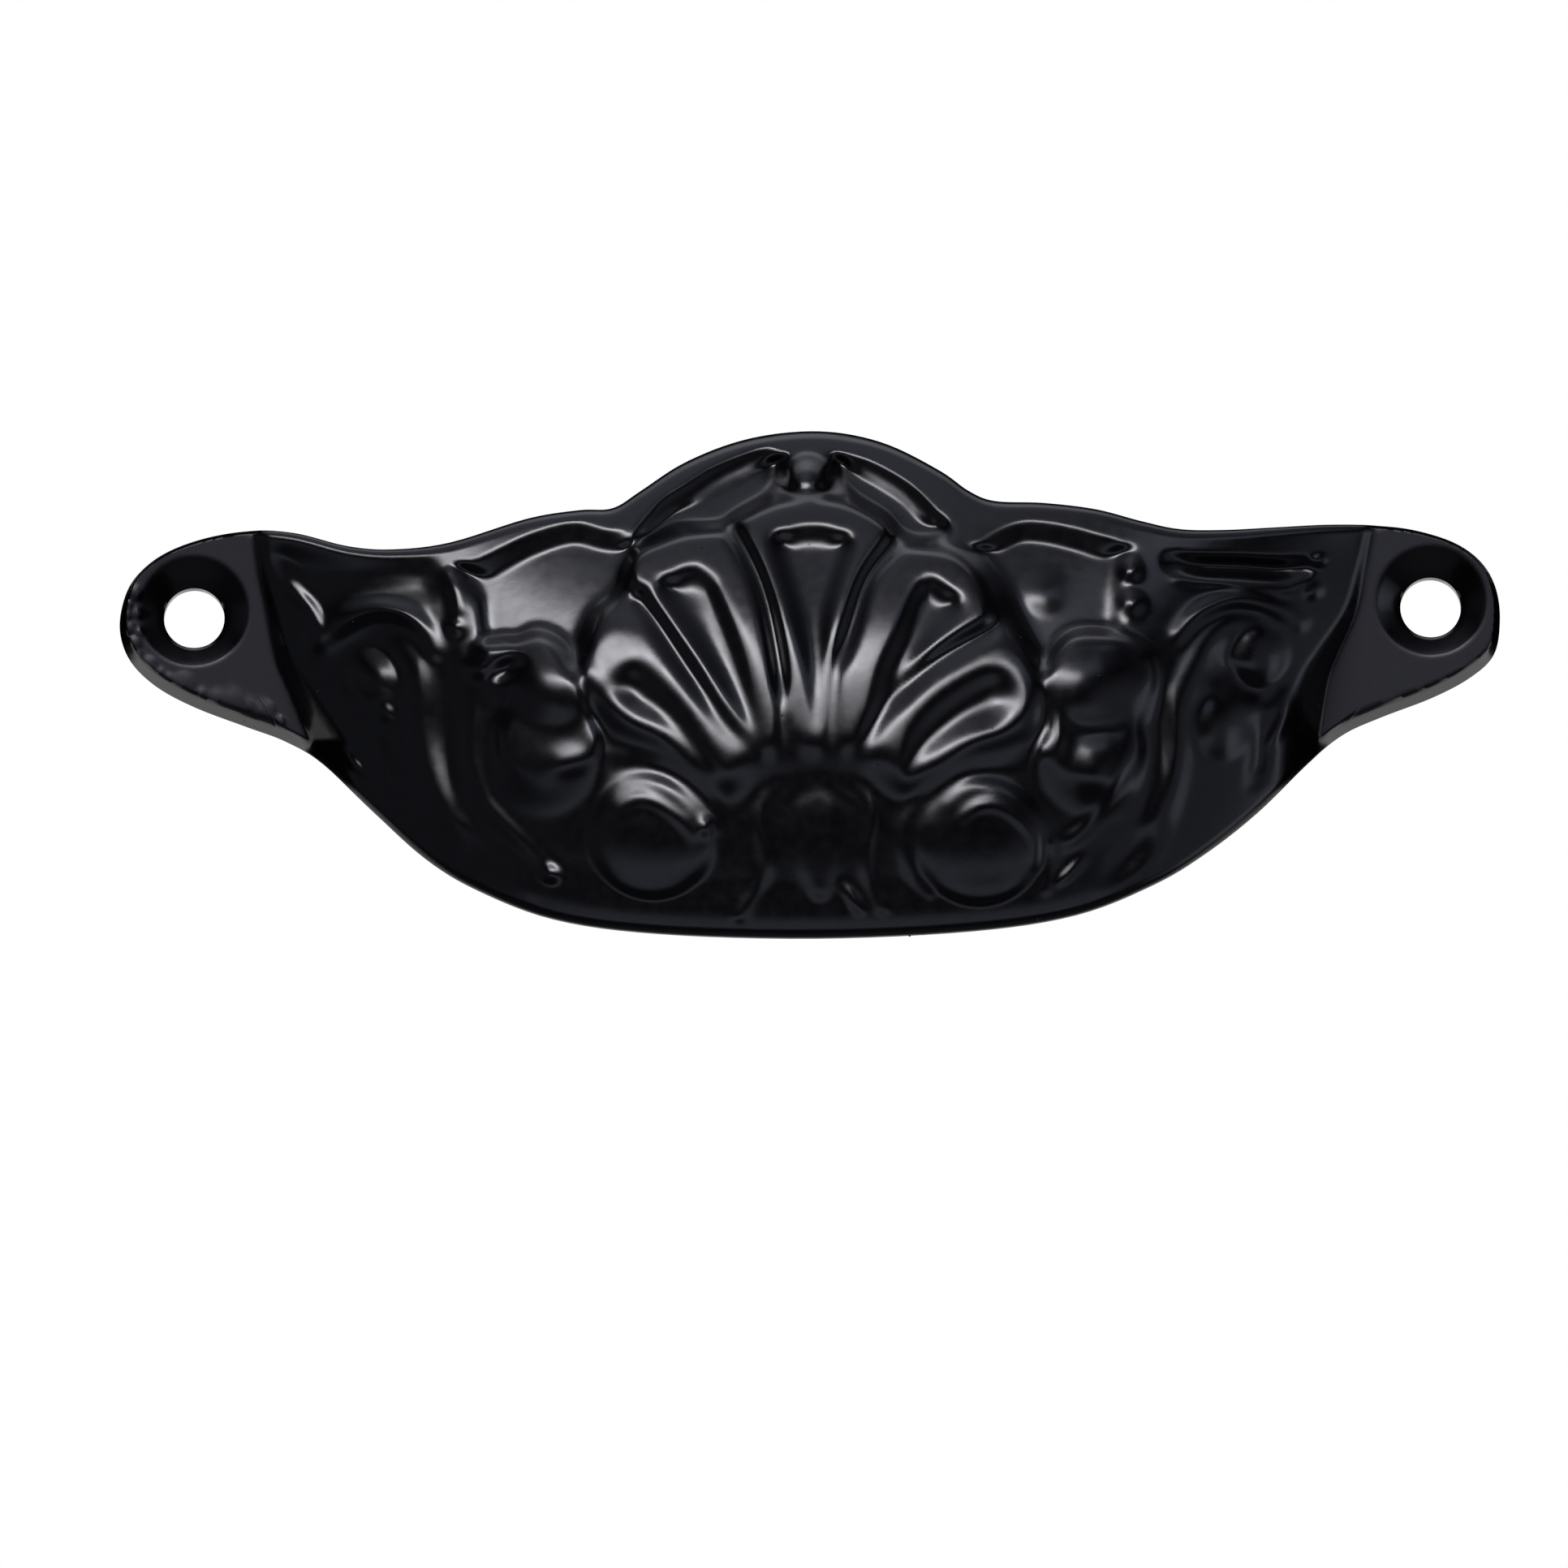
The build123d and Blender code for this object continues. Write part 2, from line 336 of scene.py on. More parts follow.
@dataclass(frozen=True)
class Dome:
    """Round swelling or dent; a power of 1 leaves its edge crisp, 2 makes it run out."""

    x: float
    v: float
    wide: float
    tall: float
    rise: float
    turn: float = 0.0
    power: float = 1.5

    def reach(self) -> Array:
        """Lowest and highest place that the form touches."""
        size = max(self.wide, self.tall)
        return np.array([(self.x - size, self.v - size), (self.x + size, self.v + size)])

    def height(self, x: Array, v: Array) -> Array:
        """Height of the form.

        Args:
            x: places along the pull.
            v: places up the draw plane.

        Returns:
            Heights over the plain face.
        """
        c, s = math.cos(math.radians(self.turn)), math.sin(math.radians(self.turn))
        a = ((x - self.x) * c + (v - self.v) * s) / self.wide
        b = ((v - self.v) * c - (x - self.x) * s) / self.tall
        return self.rise * np.clip(1 - a * a - b * b, 0, 1) ** self.power


Form = Stroke | Patch | Dome


def relief(layers: Sequence[Sequence[Form]], x: Array, v: Array) -> Array:
    """Height of the carving; in a layer the strongest form counts, and layers add up.

    Args:
        layers: forms, layer by layer.
        x: places along the pull.
        v: places up the draw plane.

    Returns:
        Height over the plain face.
    """
    total = np.zeros(x.shape)
    for layer in layers:
        most = np.zeros(x.shape)
        for form in layer:
            (x0, v0), (x1, v1) = form.reach()
            at = np.nonzero((x > x0) & (x < x1) & (v > v0) & (v < v1))
            made = form.height(x[at], v[at])
            most[at] = np.where(np.abs(made) > np.abs(most[at]), made, most[at])
        total += most
    return total


def settle(height: Array, passes: int) -> Array:
    """Runs thick paint over a grid of heights: edges round off and narrow gaps fill.

    Args:
        height: heights, rows by columns.
        passes: how often each height is averaged with its neighbours.

    Returns:
        Softened heights.
    """
    for _ in range(passes):
        height = np.pad(height, 1, mode="edge")
        height = (height[:-2] + 2 * height[1:-1] + height[2:]) / 4
        height = (height[:, :-2] + 2 * height[:, 1:-1] + height[:, 2:]) / 4
    return height


@dataclass(frozen=True)
class Panels:
    """Fields sunk between the rim and the fan, with the ball on the crown."""

    crown: float = 1.4
    crown_wall: Point = (2.6, 2.0)
    shoulder: float = 0.95
    shoulder_wall: Point = (1.7, 1.0)

    def layers(self) -> list[list[Form]]:
        """Forms of the panels.

        Returns:
            Forms, layer by layer.
        """
        crown_left = (
            (-2.0, 12.4), (-3.4, 13.1), (-5.5, 12.5), (-8, 11.4), (-10, 10.1), (-11.7, 9.0), (-13.0, 7.2),
            (-13.3, 6.0), (-12.3, 5.9), (-10, 6.9), (-7.2, 7.0), (-5.6, 8.0), (-3.3, 9.4), (-2.6, 10.8),
        )  # fmt: skip
        crown_right = (
            (1.9, 12.5), (4, 12.2), (6, 11.25), (8, 9.9), (9.6, 8.2), (10.3, 7.0), (9.9, 6.0),
            (8.2, 5.7), (6.6, 6.4), (5.6, 7.6), (3.6, 8.9), (2.4, 10.2),
        )  # fmt: skip
        shoulder_left = (
            (-27.3, 4.0), (-25.8, 4.5), (-22, 6.4), (-18.5, 7.35), (-16, 6.8), (-14.4, 6.5), (-13.7, 5.2),
            (-14.6, 3.2), (-15.4, 1.4), (-16.9, 0.1), (-18.3, -4.2), (-20.2, -2.1), (-21.6, -1.7),
            (-25, -1.9), (-25.8, 1.5),
        )  # fmt: skip
        shoulder_right = (
            (14.0, 6.3), (16, 7.1), (18, 7.05), (20, 6.65), (22, 6.05), (24.2, 5.1), (23.6, 2.5),
            (23.2, -1.2), (22, -1.7), (19.8, -1.9), (17.7, -4.2), (15.9, -0.9), (14.8, 2), (13.2, 4.3),
            (12.4, 5.0),
        )  # fmt: skip
        outer_left = (
            (-41, 5.2), (-36, 4.4), (-31, 4.2), (-29.3, 3.6), (-29.5, 1.8), (-31, 1.6), (-36, 1.2),
            (-38.5, 0.5), (-40, 3),
        )  # fmt: skip
        sunk: list[Form] = [
            Patch(crown_left, -self.crown, 1.2, brow=self.crown_wall),
            Patch(crown_right, -self.crown, 1.2, brow=self.crown_wall),
            Patch(shoulder_left, -self.shoulder, 1.2, brow=self.shoulder_wall, sill=0.7),
            Patch(shoulder_right, -self.shoulder, 1.8, brow=self.shoulder_wall, sill=0.7),
            Patch(outer_left, -0.35, 2.2),
            Stroke(((28.0, 3.8), (30, 3.5), (33, 3.4), (36, 3.2), (38, 3.3)), 1.2, -1.1),
        ]
        ball: list[Form] = [
            Dome(-0.3, 10.7, 1.9, 1.9, 1.5, power=1),
            Dome(-2.6, 10.6, 0.9, 1.6, -0.8, 15, 1),
            Dome(1.9, 10.6, 0.8, 1.8, -0.6, -15, 1),
        ]
        marks: list[Form] = [
            Dome(17.8, 1.6, 2.2, 2.0, 0.35, -20),
            Dome(24.6, 3.3, 1.1, 1.2, 0.5),
            Dome(24.8, 0.7, 1.1, 1.2, 0.5),
            Dome(-27.5, -0.7, 0.8, 0.9, 0.6),
            Stroke(((-27.9, 3.4), (-27.4, 1.5), (-27.2, -0.4)), 0.9, 0.5),
            Stroke(((-40.2, 2.4), (-38.9, 0.8), (-38.4, -0.8), (-38.8, -2.7)), 0.8, 0.5),
            Stroke(((28.3, 2.6), (32, 2.1), (35, 1.8), (36.6, 1.6), (38.3, 2.4)), 0.7, 0.35),
            Dome(39.3, 3.9, 0.7, 0.7, 0.4),
            Dome(38.8, 1.5, 0.9, 0.9, 0.4),
        ]
        return [sunk, ball, marks]


@dataclass(frozen=True)
class Fan:
    """Five fluted lobes that spread from a root over the middle of the hood."""

    root: Point = (0.0, -11.0)
    swell: float = 0.7
    rise: float = 0.9
    outer_rise: float = 0.6
    flute: float = 1.2
    groove: float = 0.85

    def layers(self) -> list[list[Form]]:
        """Forms of the fan.

        Returns:
            Forms, layer by layer.
        """
        body = (
            (0, 9.2), (5.6, 7.3), (7, 5.4), (11.5, 4.6), (14, 1.6), (15, -1.2), (17.6, -4.5), (17, -8.8),
            (13, -10.6), (8, -12.8), (4, -12.1), (0, -11.8), (-4, -12.1), (-7, -13.2), (-11, -10.6),
            (-15.5, -8.2), (-18.2, -4), (-16.3, 0.1), (-14.4, 2.6), (-14.2, 4.4), (-11, 6.2), (-7, 6.7),
            (-5.7, 7.6),
        )  # fmt: skip
        middle = (
            (-1.2, -10), (-2.1, -8), (-2.4, -3.5), (-3.6, 2), (-5.7, 6.6), (-5.3, 7.5), (-3, 8.7), (0, 9.1),
            (3, 8.6), (5.4, 7.1), (5.9, 5.8), (3.9, 2.5), (2.5, -1.5), (1.4, -4.5), (0.7, -10),
        )  # fmt: skip
        first_left = (
            (-6.6, 6.3), (-9, 6.5), (-11, 5.9), (-12.9, 5.2), (-14, 4.2), (-14.3, 3), (-13.6, 2.1),
            (-11.7, -0.3), (-9.6, -3.5), (-6.8, -7.6), (-3.6, -10.6), (-2.6, -8), (-3.0, -3.5), (-4.2, 2),
        )  # fmt: skip
        first_right = (
            (6.5, 4.7), (7.5, 5.1), (9, 5), (11, 4.4), (12.5, 3), (13.3, 1.5), (13.6, 0), (13.4, -0.9),
            (8.8, -3.7), (5.3, -7.2), (2.2, -10.4), (2.0, -4.5), (3.1, -1.5), (4.5, 2.5),
        )  # fmt: skip
        second_left = (
            (-13.6, -0.1), (-15, 0.1), (-16.3, -0.2), (-17.5, -1.5), (-18, -3.7), (-17.2, -6.6),
            (-15.4, -8.2), (-12.2, -9.7), (-9, -12), (-6.5, -13.2), (-5.0, -10.8), (-7.2, -8.2),
            (-10.2, -3.7), (-12.2, -0.8),
        )  # fmt: skip
        second_right = (
            (14.4, -1.6), (16.5, -3), (17.3, -4.5), (17.6, -6.5), (16.9, -8.8), (15, -10), (12, -10.9),
            (9, -12.6), (6.5, -13.3), (4.4, -10.8), (5.8, -7.8), (9.2, -4.2), (12.5, -2),
        )  # fmt: skip
        lobes: list[Form] = [
            Patch(points, rise, edge, self.root, far=13, keep=0.25)
            for rise, edge, shapes in (
                (self.rise, 0.9, (middle, first_left, first_right)),
                (self.outer_rise, 2.4, (second_left, second_right)),
            )
            for points in shapes
        ]
        flutes: list[Form] = [
            Patch(points, -depth, edge, self.root, far, keep=0.15, brow=brow, straight=brow is None)
            for points, depth, edge, far, brow in (
                (((-2.9, 5.7), (-1.6, 6.7), (0, 6.9), (1.6, 6.7), (2.9, 5.8), (2.0, 3), (1.1, 0), (0.8, -4),
                  (0.3, -8.5), (-0.4, -4), (-1.3, 0)), self.flute, 1.5, 15, (2.2, 2.0)),
                (((-11.6, 2.2), (-10.8, 3.3), (-9.3, 3.8), (-8.1, 3.3), (-7.2, 1.6), (-5.4, -3.5),
                  (-4, -10.2), (-6.2, -6.6), (-9, -2)), self.flute * 0.9, 1.5, 13, (2.2, 2.0)),
                (((8.1, 2.2), (9.1, 2.8), (10.4, 2.1), (11.1, 0.6), (8.6, -2.6), (5.8, -7.2), (4, -9.8),
                  (5.2, -4.6), (6.8, -0.8)), self.flute * 0.9, 1.5, 13, (2.2, 2.0)),
                (((-15.9, -5.8), (-15.3, -4.3), (-14, -3.6), (-12.5, -4.1), (-9.7, -7.2), (-7.7, -10.6),
                  (-6.9, -12.7), (-9.3, -11.3), (-12, -9.1), (-14.3, -8)), self.groove, 1.9, 7, None),
                (((16.0, -6.8), (15.3, -4.9), (13.8, -4.2), (11.8, -4.9), (9, -6.8), (7, -9.4), (6.7, -12.6),
                  (9.4, -11.5), (12.2, -9.9), (14.8, -8.9)), self.groove, 1.9, 7, None),
            )
        ]  # fmt: skip
        gaps: list[Form] = [
            Stroke(points, 0.85, -0.6, ends=(1, 0))
            for points in (
                ((-5.9, 6.6), (-3.9, 2), (-2.7, -3.5), (-2.3, -7.5)),
                ((6.2, 5.2), (4.2, 2.5), (2.8, -1.5), (1.7, -4.8)),
                ((-13.2, 1.4), (-12, -0.5), (-9.9, -3.6), (-7, -7.9)),
                ((14, -1.2), (9, -4), (5.5, -7.5)),
            )
        ]
        return [[Patch(body, self.swell, 1.2, sill=4.4)], lobes, flutes, gaps]


@dataclass(frozen=True)
class Leaves:
    """Curled leaf at each side of the fan."""

    rise: float = 0.9

    def layers(self) -> list[list[Form]]:
        """Forms of the leaves.

        Returns:
            Forms, layer by layer.
        """
        left = (
            (-25.8, -2.5), (-24, -1.7), (-22.7, -1.8), (-21.4, -1.2), (-19.9, -1.6), (-18.8, -2.7),
            (-18.4, -4.4), (-17.4, -7.4), (-16.4, -9.8), (-17.5, -12.3), (-20.5, -13.8), (-23.5, -12.5),
            (-24.4, -9), (-23.3, -6.5), (-25.2, -4.8),
        )  # fmt: skip
        right = (
            (17.9, -4.9), (18.7, -2.8), (20, -1.7), (22, -1.5), (24.4, -2.3), (26, -3.6), (26.3, -6),
            (25, -8.3), (25.2, -11), (24.2, -13.6), (21.5, -14.5), (18.5, -13), (17.2, -11), (18.2, -8.5),
        )  # fmt: skip
        bodies: list[Form] = [Patch(left, self.rise, 0.9, sill=4.0), Patch(right, self.rise, 0.9, sill=4.0)]
        bulges: list[Form] = [
            Dome(-20.0, -5.2, 4.0, 3.6, 0.9, -25),
            Dome(-19.0, -11.2, 2.4, 1.3, 0.3, 10),
            Dome(21.3, -5.2, 4.2, 3.8, 0.8),
            Dome(22.2, -12.0, 2.6, 3.0, 0.45),
        ]
        creases: list[Form] = [
            Dome(-23.5, -4.1, 1.9, 1.0, -0.9, 20),
            Stroke(((19.0, -8.6), (21, -9.2), (23, -9.0), (24.6, -8.4)), 1.3, -0.2),
        ]
        scallops: list[Form] = [
            Stroke(((-25.5, -2.7), (-24.6, -2.1), (-23.5, -2.0), (-22.7, -2.5)), 0.6, 0.3),
            Stroke(((-22.9, -2.2), (-21.5, -1.5), (-20, -1.9), (-18.9, -2.9), (-18.5, -4.3)), 0.6, 0.3),
            Stroke(((18.3, -4.5), (19.0, -2.8), (20.2, -2.1), (22, -1.9), (24.3, -2.6),
                    (25.6, -3.6)), 0.6, 0.3),
            Stroke(((18.2, -7.7), (19, -9.3), (18.6, -10.6)), 0.5, 0.3),
        ]  # fmt: skip
        return [bodies, bulges, creases, scallops]


@dataclass(frozen=True)
class Scrolls:
    """Volutes at the ends of the hood and the long scrolls that run down to the lip."""

    rise: float = 0.65
    long_rise: float = 0.4

    def layers(self) -> list[list[Form]]:
        """Forms of the scrolls.

        Returns:
            Forms, layer by layer.
        """
        dishes: list[Form] = [
            Dome(-34.0, -3.0, 4.2, 3.4, -0.5, 30, 1.5),
            Dome(33.5, -4.0, 4.0, 3.4, -0.5, -30, 1.5),
            Dome(-28.2, -8.0, 1.8, 6.5, -0.5, 0, 1.5),
            Dome(26.6, -9.5, 1.4, 5.5, -0.4, 4, 1.5),
            Dome(-26.0, -18.4, 4.2, 1.5, -0.3, -42, 1.5),
            Dome(24.6, -18.6, 3.8, 1.4, -0.3, 42, 1.5),
            Stroke(((31.4, -3.4), (32.8, -5.3), (34.8, -6.9)), 1.1, -0.8),
            Stroke(((34.5, -8.4), (34.4, -11), (34.1, -13.2)), 0.9, -0.45),
        ]
        ridges: list[Form] = [
            Stroke(((-38.2, -1.8), (-37, -0.7), (-35.5, 0.3), (-33.5, 0.8), (-31.4, 0.3), (-30, -1),
                    (-29.2, -2.6)), 1.1, self.rise),
            Stroke(((-32, -2.6), (-30.9, -4), (-30.4, -6), (-30.5, -8.5), (-29.8, -11.5), (-28.3, -15.3),
                    (-25.4, -19.2), (-22.4, -21.3)), 1.8, self.long_rise, ends=(0.8, 0.2)),
            Stroke(((-25.9, -6), (-26.5, -10), (-26, -12.5), (-25.3, -14.3), (-23, -16.8),
                    (-20.6, -19)), 0.95, self.rise * 0.35),
            Stroke(((28.3, -1.8), (29.8, -0.2), (32, 0.8), (34, 0.8), (36, 0.1), (37.6, -1)), 1.1, self.rise),
            Stroke(((34.2, -1.4), (32, -1.4), (30.2, -3.2), (28.4, -7), (27.9, -11), (26.9, -15.3),
                    (25.2, -19), (22.6, -21.3)), 1.8, self.long_rise, ends=(0.8, 0.2)),
            Stroke(((23.9, -11), (23.3, -13), (22, -15.2), (20, -17.3),
                    (18.3, -17.8)), 0.9, self.rise * 0.35),
        ]  # fmt: skip
        lumps: list[Form] = [
            Dome(-34.0, -4.4, 1.9, 2.2, 0.9, 30, 1),
            Stroke(((-35.2, -2.8), (-33.6, -3.2), (-32.5, -4.3), (-32.4, -5.9)), 0.5, 0.45),
            Dome(-33.1, -7.2, 0.9, 0.9, 0.5),
            Dome(34.5, -3.6, 2.3, 2.3, 1.0, 0, 1),
            Dome(31.4, -9.0, 2.3, 2.8, 0.7, 0, 1.2),
            Stroke(((30.4, -5.4), (31.2, -6.3), (31.8, -7.4)), 0.6, 0.4),
            Stroke(((36.4, -6.6), (36.5, -8), (35.8, -9.8)), 0.7, 0.5),
            Stroke(((-36.5, -10.2), (-35, -11.8)), 0.6, 0.35),
            Stroke(((-33.3, -9.8), (-33, -13)), 0.7, 0.35),
            Dome(-26.0, -4.0, 1.0, 1.0, 0.7),
            Dome(-20.3, -19.8, 0.9, 0.9, 0.5),
            Stroke(((20.6, -18.9), (19.6, -20), (18.7, -20.8)), 0.5, 0.25),
        ]
        return [dishes, ridges, lumps]


@dataclass(frozen=True)
class Pendant:
    """Two scroll bosses under the fan, and the arch with its tongue between them."""

    boss: float = 0.75
    step: float = 0.24

    def layers(self) -> list[list[Form]]:
        """Forms of the bosses and the pendant.

        Returns:
            Forms, layer by layer.
        """
        bosses: list[Form] = [
            Dome(-12.4, -17.0, 4.8, 4.7, self.boss, 0, 0.4),
            Dome(12.6, -17.5, 5.0, 4.9, self.boss, 0, 0.4),
        ]
        rolls: list[Form] = [
            Stroke(((-16.2, -14), (-15, -12.9), (-13.5, -12.4), (-12, -12.9), (-10.5, -14),
                    (-9.3, -15.6)), 0.7, self.step),
            Stroke(((10.2, -14.9), (11.5, -13.6), (13, -13.3), (15, -14), (16.5, -15.1), (17.7, -16.6),
                    (18.2, -18.2), (17.7, -21.3)), 0.7, self.step),
            Stroke(((-15.5, -10.7), (-12, -11.2), (-9, -12.8), (-7.6, -14.7), (-7.3, -16.4)), 0.8, self.step),
            Stroke(((16, -10.9), (13, -11.6), (10, -12.8), (8.2, -14.3), (7, -16.3), (6.8, -18), (7.6, -20.3),
                    (8.8, -21.5)), 0.8, self.step),
        ]  # fmt: skip
        inner: list[Form] = [
            Stroke(((-15.2, -14.9), (-13.5, -14.1), (-12, -14.5), (-10.3, -15.7), (-9.3, -16.9)), 0.55, 0.35),
            Stroke(((11.2, -15.8), (12.6, -14.9), (14.2, -14.9), (15.9, -16), (16.8, -17.3),
                    (17, -19.5)), 0.55, 0.35),
            Dome(-8.4, -16.3, 0.7, 0.7, 0.5),
            Stroke(((-2.3, -13.3), (-3.8, -14.3), (-4.3, -16), (-3.9, -18), (-3.9, -20),
                    (-5.8, -23.2)), 0.7, 0.3),
            Stroke(((2.3, -13.2), (3.9, -14.1), (4.4, -15.6), (3.9, -18.3), (4.1, -20.4),
                    (5.1, -22.6)), 0.7, 0.3),
            Stroke(((-2.3, -13.3), (0, -12.9), (2.3, -13.2)), 0.7, 0.12),
            Patch(((-1.3, -15.5), (-0.8, -13.9), (0.4, -13.5), (1.4, -14.2), (1.7, -16), (1.5, -20),
                   (0.8, -21.6), (-0.3, -21.4), (-1.1, -19.5)), 0.25, 1.3),
            Stroke(((2.1, -20.8), (3.4, -22.8)), 0.5, 0.3),
        ]  # fmt: skip
        return [bosses, rolls, inner]


@dataclass(frozen=True)
class DrawPlane:
    """Plane square to the photograph's line of sight, which runs slightly upwards to the wall."""

    tilt: float = math.radians(9.0)

    @property
    def out(self) -> Vector:
        """Direction out of the plane, towards the camera."""
        return Vector((0, -math.cos(self.tilt), -math.sin(self.tilt)))

    @property
    def up(self) -> Vector:
        """Direction up the plane."""
        return Vector((0, -math.sin(self.tilt), math.cos(self.tilt)))

    def off_wall(self, v: Array, gap: float | Array) -> Array:
        """Height over the plane of what stands off the wall by gap."""
        return (gap - v * math.sin(self.tilt)) / math.cos(self.tilt)

    def place(self, x: Array, v: Array, w: Array) -> Array:
        """Puts places into the row frame.

        Args:
            x: places along the pull.
            v: places up the draw plane.
            w: heights over the draw plane.

        Returns:
            Points in metres.
        """
        x, v, w = np.broadcast_arrays(x, v, w)
        flat = x[..., None] * np.array((1, 0, 0)) + v[..., None] * np.array(self.up)
        return (flat + w[..., None] * np.array(self.out)) * MM


@dataclass(frozen=True)
class Outline:
    """Edge of the casting as the photograph shows it, clockwise from the left ear's brow."""

    upper: tuple[Point, ...] = (
        (-43.5, 6.95), (-40, 6.7), (-36, 5.66), (-32.5, 5.36), (-28, 5.85), (-22, 7.65), (-18, 8.27),
        (-15.4, 8.4), (-13.2, 9.75), (-10, 11.83), (-6, 13.46), (-2, 14.22), (2, 14.2), (6, 13.2),
        (10, 11.1), (12.2, 9.5), (14.2, 8.7), (18, 8.52), (22, 8.0), (25.5, 7.05), (28.5, 6.4), (32, 6.32),
        (36, 6.5), (40, 6.68), (44, 6.6),
    )  # fmt: skip
    right_ear: tuple[Point, ...] = (
        (47, 6.2), (50, 5.2), (52, 3.7), (53.1, 1.7), (53.4, -0.8), (52.9, -3.5), (51, -5.3), (48, -6.85),
    )  # fmt: skip
    lower: tuple[Point, ...] = (
        (44, -8.34), (41, -9.7), (38, -12.1), (34, -15.8), (30, -18.8), (26, -21.1), (20, -23.35),
        (12, -24.5), (0, -24.95), (-12, -24.5), (-20, -23.35), (-26, -21.05), (-30, -18.6), (-34, -15),
        (-38, -11.25), (-41, -9.45), (-44, -8.3),
    )  # fmt: skip
    left_ear: tuple[Point, ...] = (
        (-48, -6.75), (-51, -5.1), (-53, -3.1), (-53.8, -0.8), (-53.5, 1.6), (-52.5, 3.5), (-50.4, 5.2),
        (-47.2, 6.4),
    )  # fmt: skip
    upper_from: float = 4.0
    lower_from: float = -5.5

    def line(self) -> Array:
        """Samples all the way round, the first one not repeated."""
        return curve(self.upper + self.right_ear + self.lower + self.left_ear, closed=True)

    def edge(self, x: Array, upper: bool) -> Array:
        """Height of the upper or the lower edge between the ears.

        Args:
            x: places along the pull.
            upper: whether the upper edge is meant.

        Returns:
            Places of the edge up the draw plane.
        """
        line = self.line()
        line = line[line[:, 1] > self.upper_from] if upper else line[line[:, 1] < self.lower_from]
        line = line[np.argsort(line[:, 0])]
        return np.interp(x, line[:, 0], line[:, 1])

    def gap(self, x: Array, v: Array) -> tuple[Array, Array]:
        """Distance from the edge.

        Args:
            x: places along the pull.
            v: places up the draw plane.

        Returns:
            Distances, and how far the edge looks upwards there, from -1 to 1.
        """
        line = self.line()
        line = np.vstack([line, line[:1]])
        gap, along = nearest(line, x, v)
        step = np.diff(line, axis=0)
        rise = (step[:, 0] / np.hypot(step[:, 0], step[:, 1]))[np.minimum(along.astype(int), len(step) - 1)]
        return gap, rise


@dataclass(frozen=True)
class Lip:
    """Plain band along the lower edge of the hood."""

    outline: Outline
    half: float = 34.0
    band: float = 4.6
    rise: float = 0.3
    slope: float = 3.4
    ends: Point = (0.1, 0.1)

    def layers(self) -> list[list[Form]]:
        """Forms of the lip.

        Returns:
            Forms, layer by layer.
        """
        edge = tuple(point for point in reversed(self.outline.lower) if abs(point[0]) <= self.half)
        return [[Stroke(edge, self.band, self.rise, soft=self.slope, ends=self.ends)]]


@dataclass(frozen=True)
class Hood:
    """Swelling hood: its plain face, its flanks and the finger hollow behind it."""

    plane: DrawPlane
    projection: float
    ear_thickness: float = EAR_THICKNESS
    lip_drop: float = 24.9
    carving_top: float = 13.0
    half: float = 41.0
    furthest: float = 1.1
    across_power: float = 2.6
    up_power: float = 2.2
    flank_height: float = 1.6
    flank_lean: float = math.radians(25.0)
    wall: float = 3.2
    crown_height: float = 14.3
    rim: float = 4.6
    hollow_half: float = 36.4
    hollow_roof: float = 1.26
    hollow_slope: float = 1.4
    left_foot: tuple[Point, ...] = (
        (-9.5, 39.0), (-5.7, 40.5), (-3, 41.6), (0, 42.2), (4, 43.0), (7, 43.3),
    )  # fmt: skip
    right_foot: tuple[Point, ...] = (
        (-9.5, 39.2), (-5.5, 39.9), (-3.3, 40.7), (0, 42.2), (3, 42.9), (7, 43.7),
    )  # fmt: skip

    def face(self, x: Array, v: Array) -> Array:
        """Height of the plain face.

        Args:
            x: places along the pull.
            v: places up the draw plane.

        Returns:
            Heights over the draw plane.
        """
        ear = self.ear_thickness / math.cos(self.plane.tilt)
        lip = self.plane.off_wall(-self.lip_drop, self.projection)
        wall = self.plane.off_wall(v, 0.0)
        bulge = lip - ear - self.plane.off_wall(-self.lip_drop, 0.0) - self.flank_height
        across = 1 - np.minimum(np.abs(x) / self.half, self.furthest) ** self.across_power
        up = 1 - (np.abs(v + self.lip_drop) / (self.carving_top + self.lip_drop)) ** self.up_power
        return ear + wall + self.flank_height + bulge * across * up

    def foot(self, x: Array, v: Array) -> Array:
        """Distance inside the foot of the flank.

        Args:
            x: places along the pull.
            v: places up the draw plane.

        Returns:
            Distances, negative on the ear.
        """
        left, right = curve(self.left_foot), curve(self.right_foot)
        at = np.where(x < 0, np.interp(v, left[:, 0], left[:, 1]), np.interp(v, right[:, 0], right[:, 1]))
        return at - np.abs(x)

    def roof(self, x: Array) -> Array:
        """Upper end of the finger hollow.

        Args:
            x: places along the pull.

        Returns:
            Places of that end up the draw plane.
        """
        radius = (self.crown_height + self.lip_drop) / 2
        bow = np.sqrt(np.clip((radius - self.rim) ** 2 - x * x, 0, None)) + self.crown_height - radius
        return np.maximum(bow, self.hollow_roof)

    def back(self, x: Array, v: Array) -> Array:
        """Height of the back: the wall plane, and inside the hollow the face less the wall.

        Args:
            x: places along the pull.
            v: places up the draw plane.

        Returns:
            Heights over the draw plane.
        """
        wall = self.plane.off_wall(v, 0.0)
        side = ease(0.5 + (self.hollow_half - np.abs(x)) / self.hollow_slope)
        roof = np.clip(0.5 + (self.roof(x) - v) / self.hollow_slope, 0, 1)
        return wall + np.maximum(self.face(x, v) - self.wall - wall, 0) * side * roof


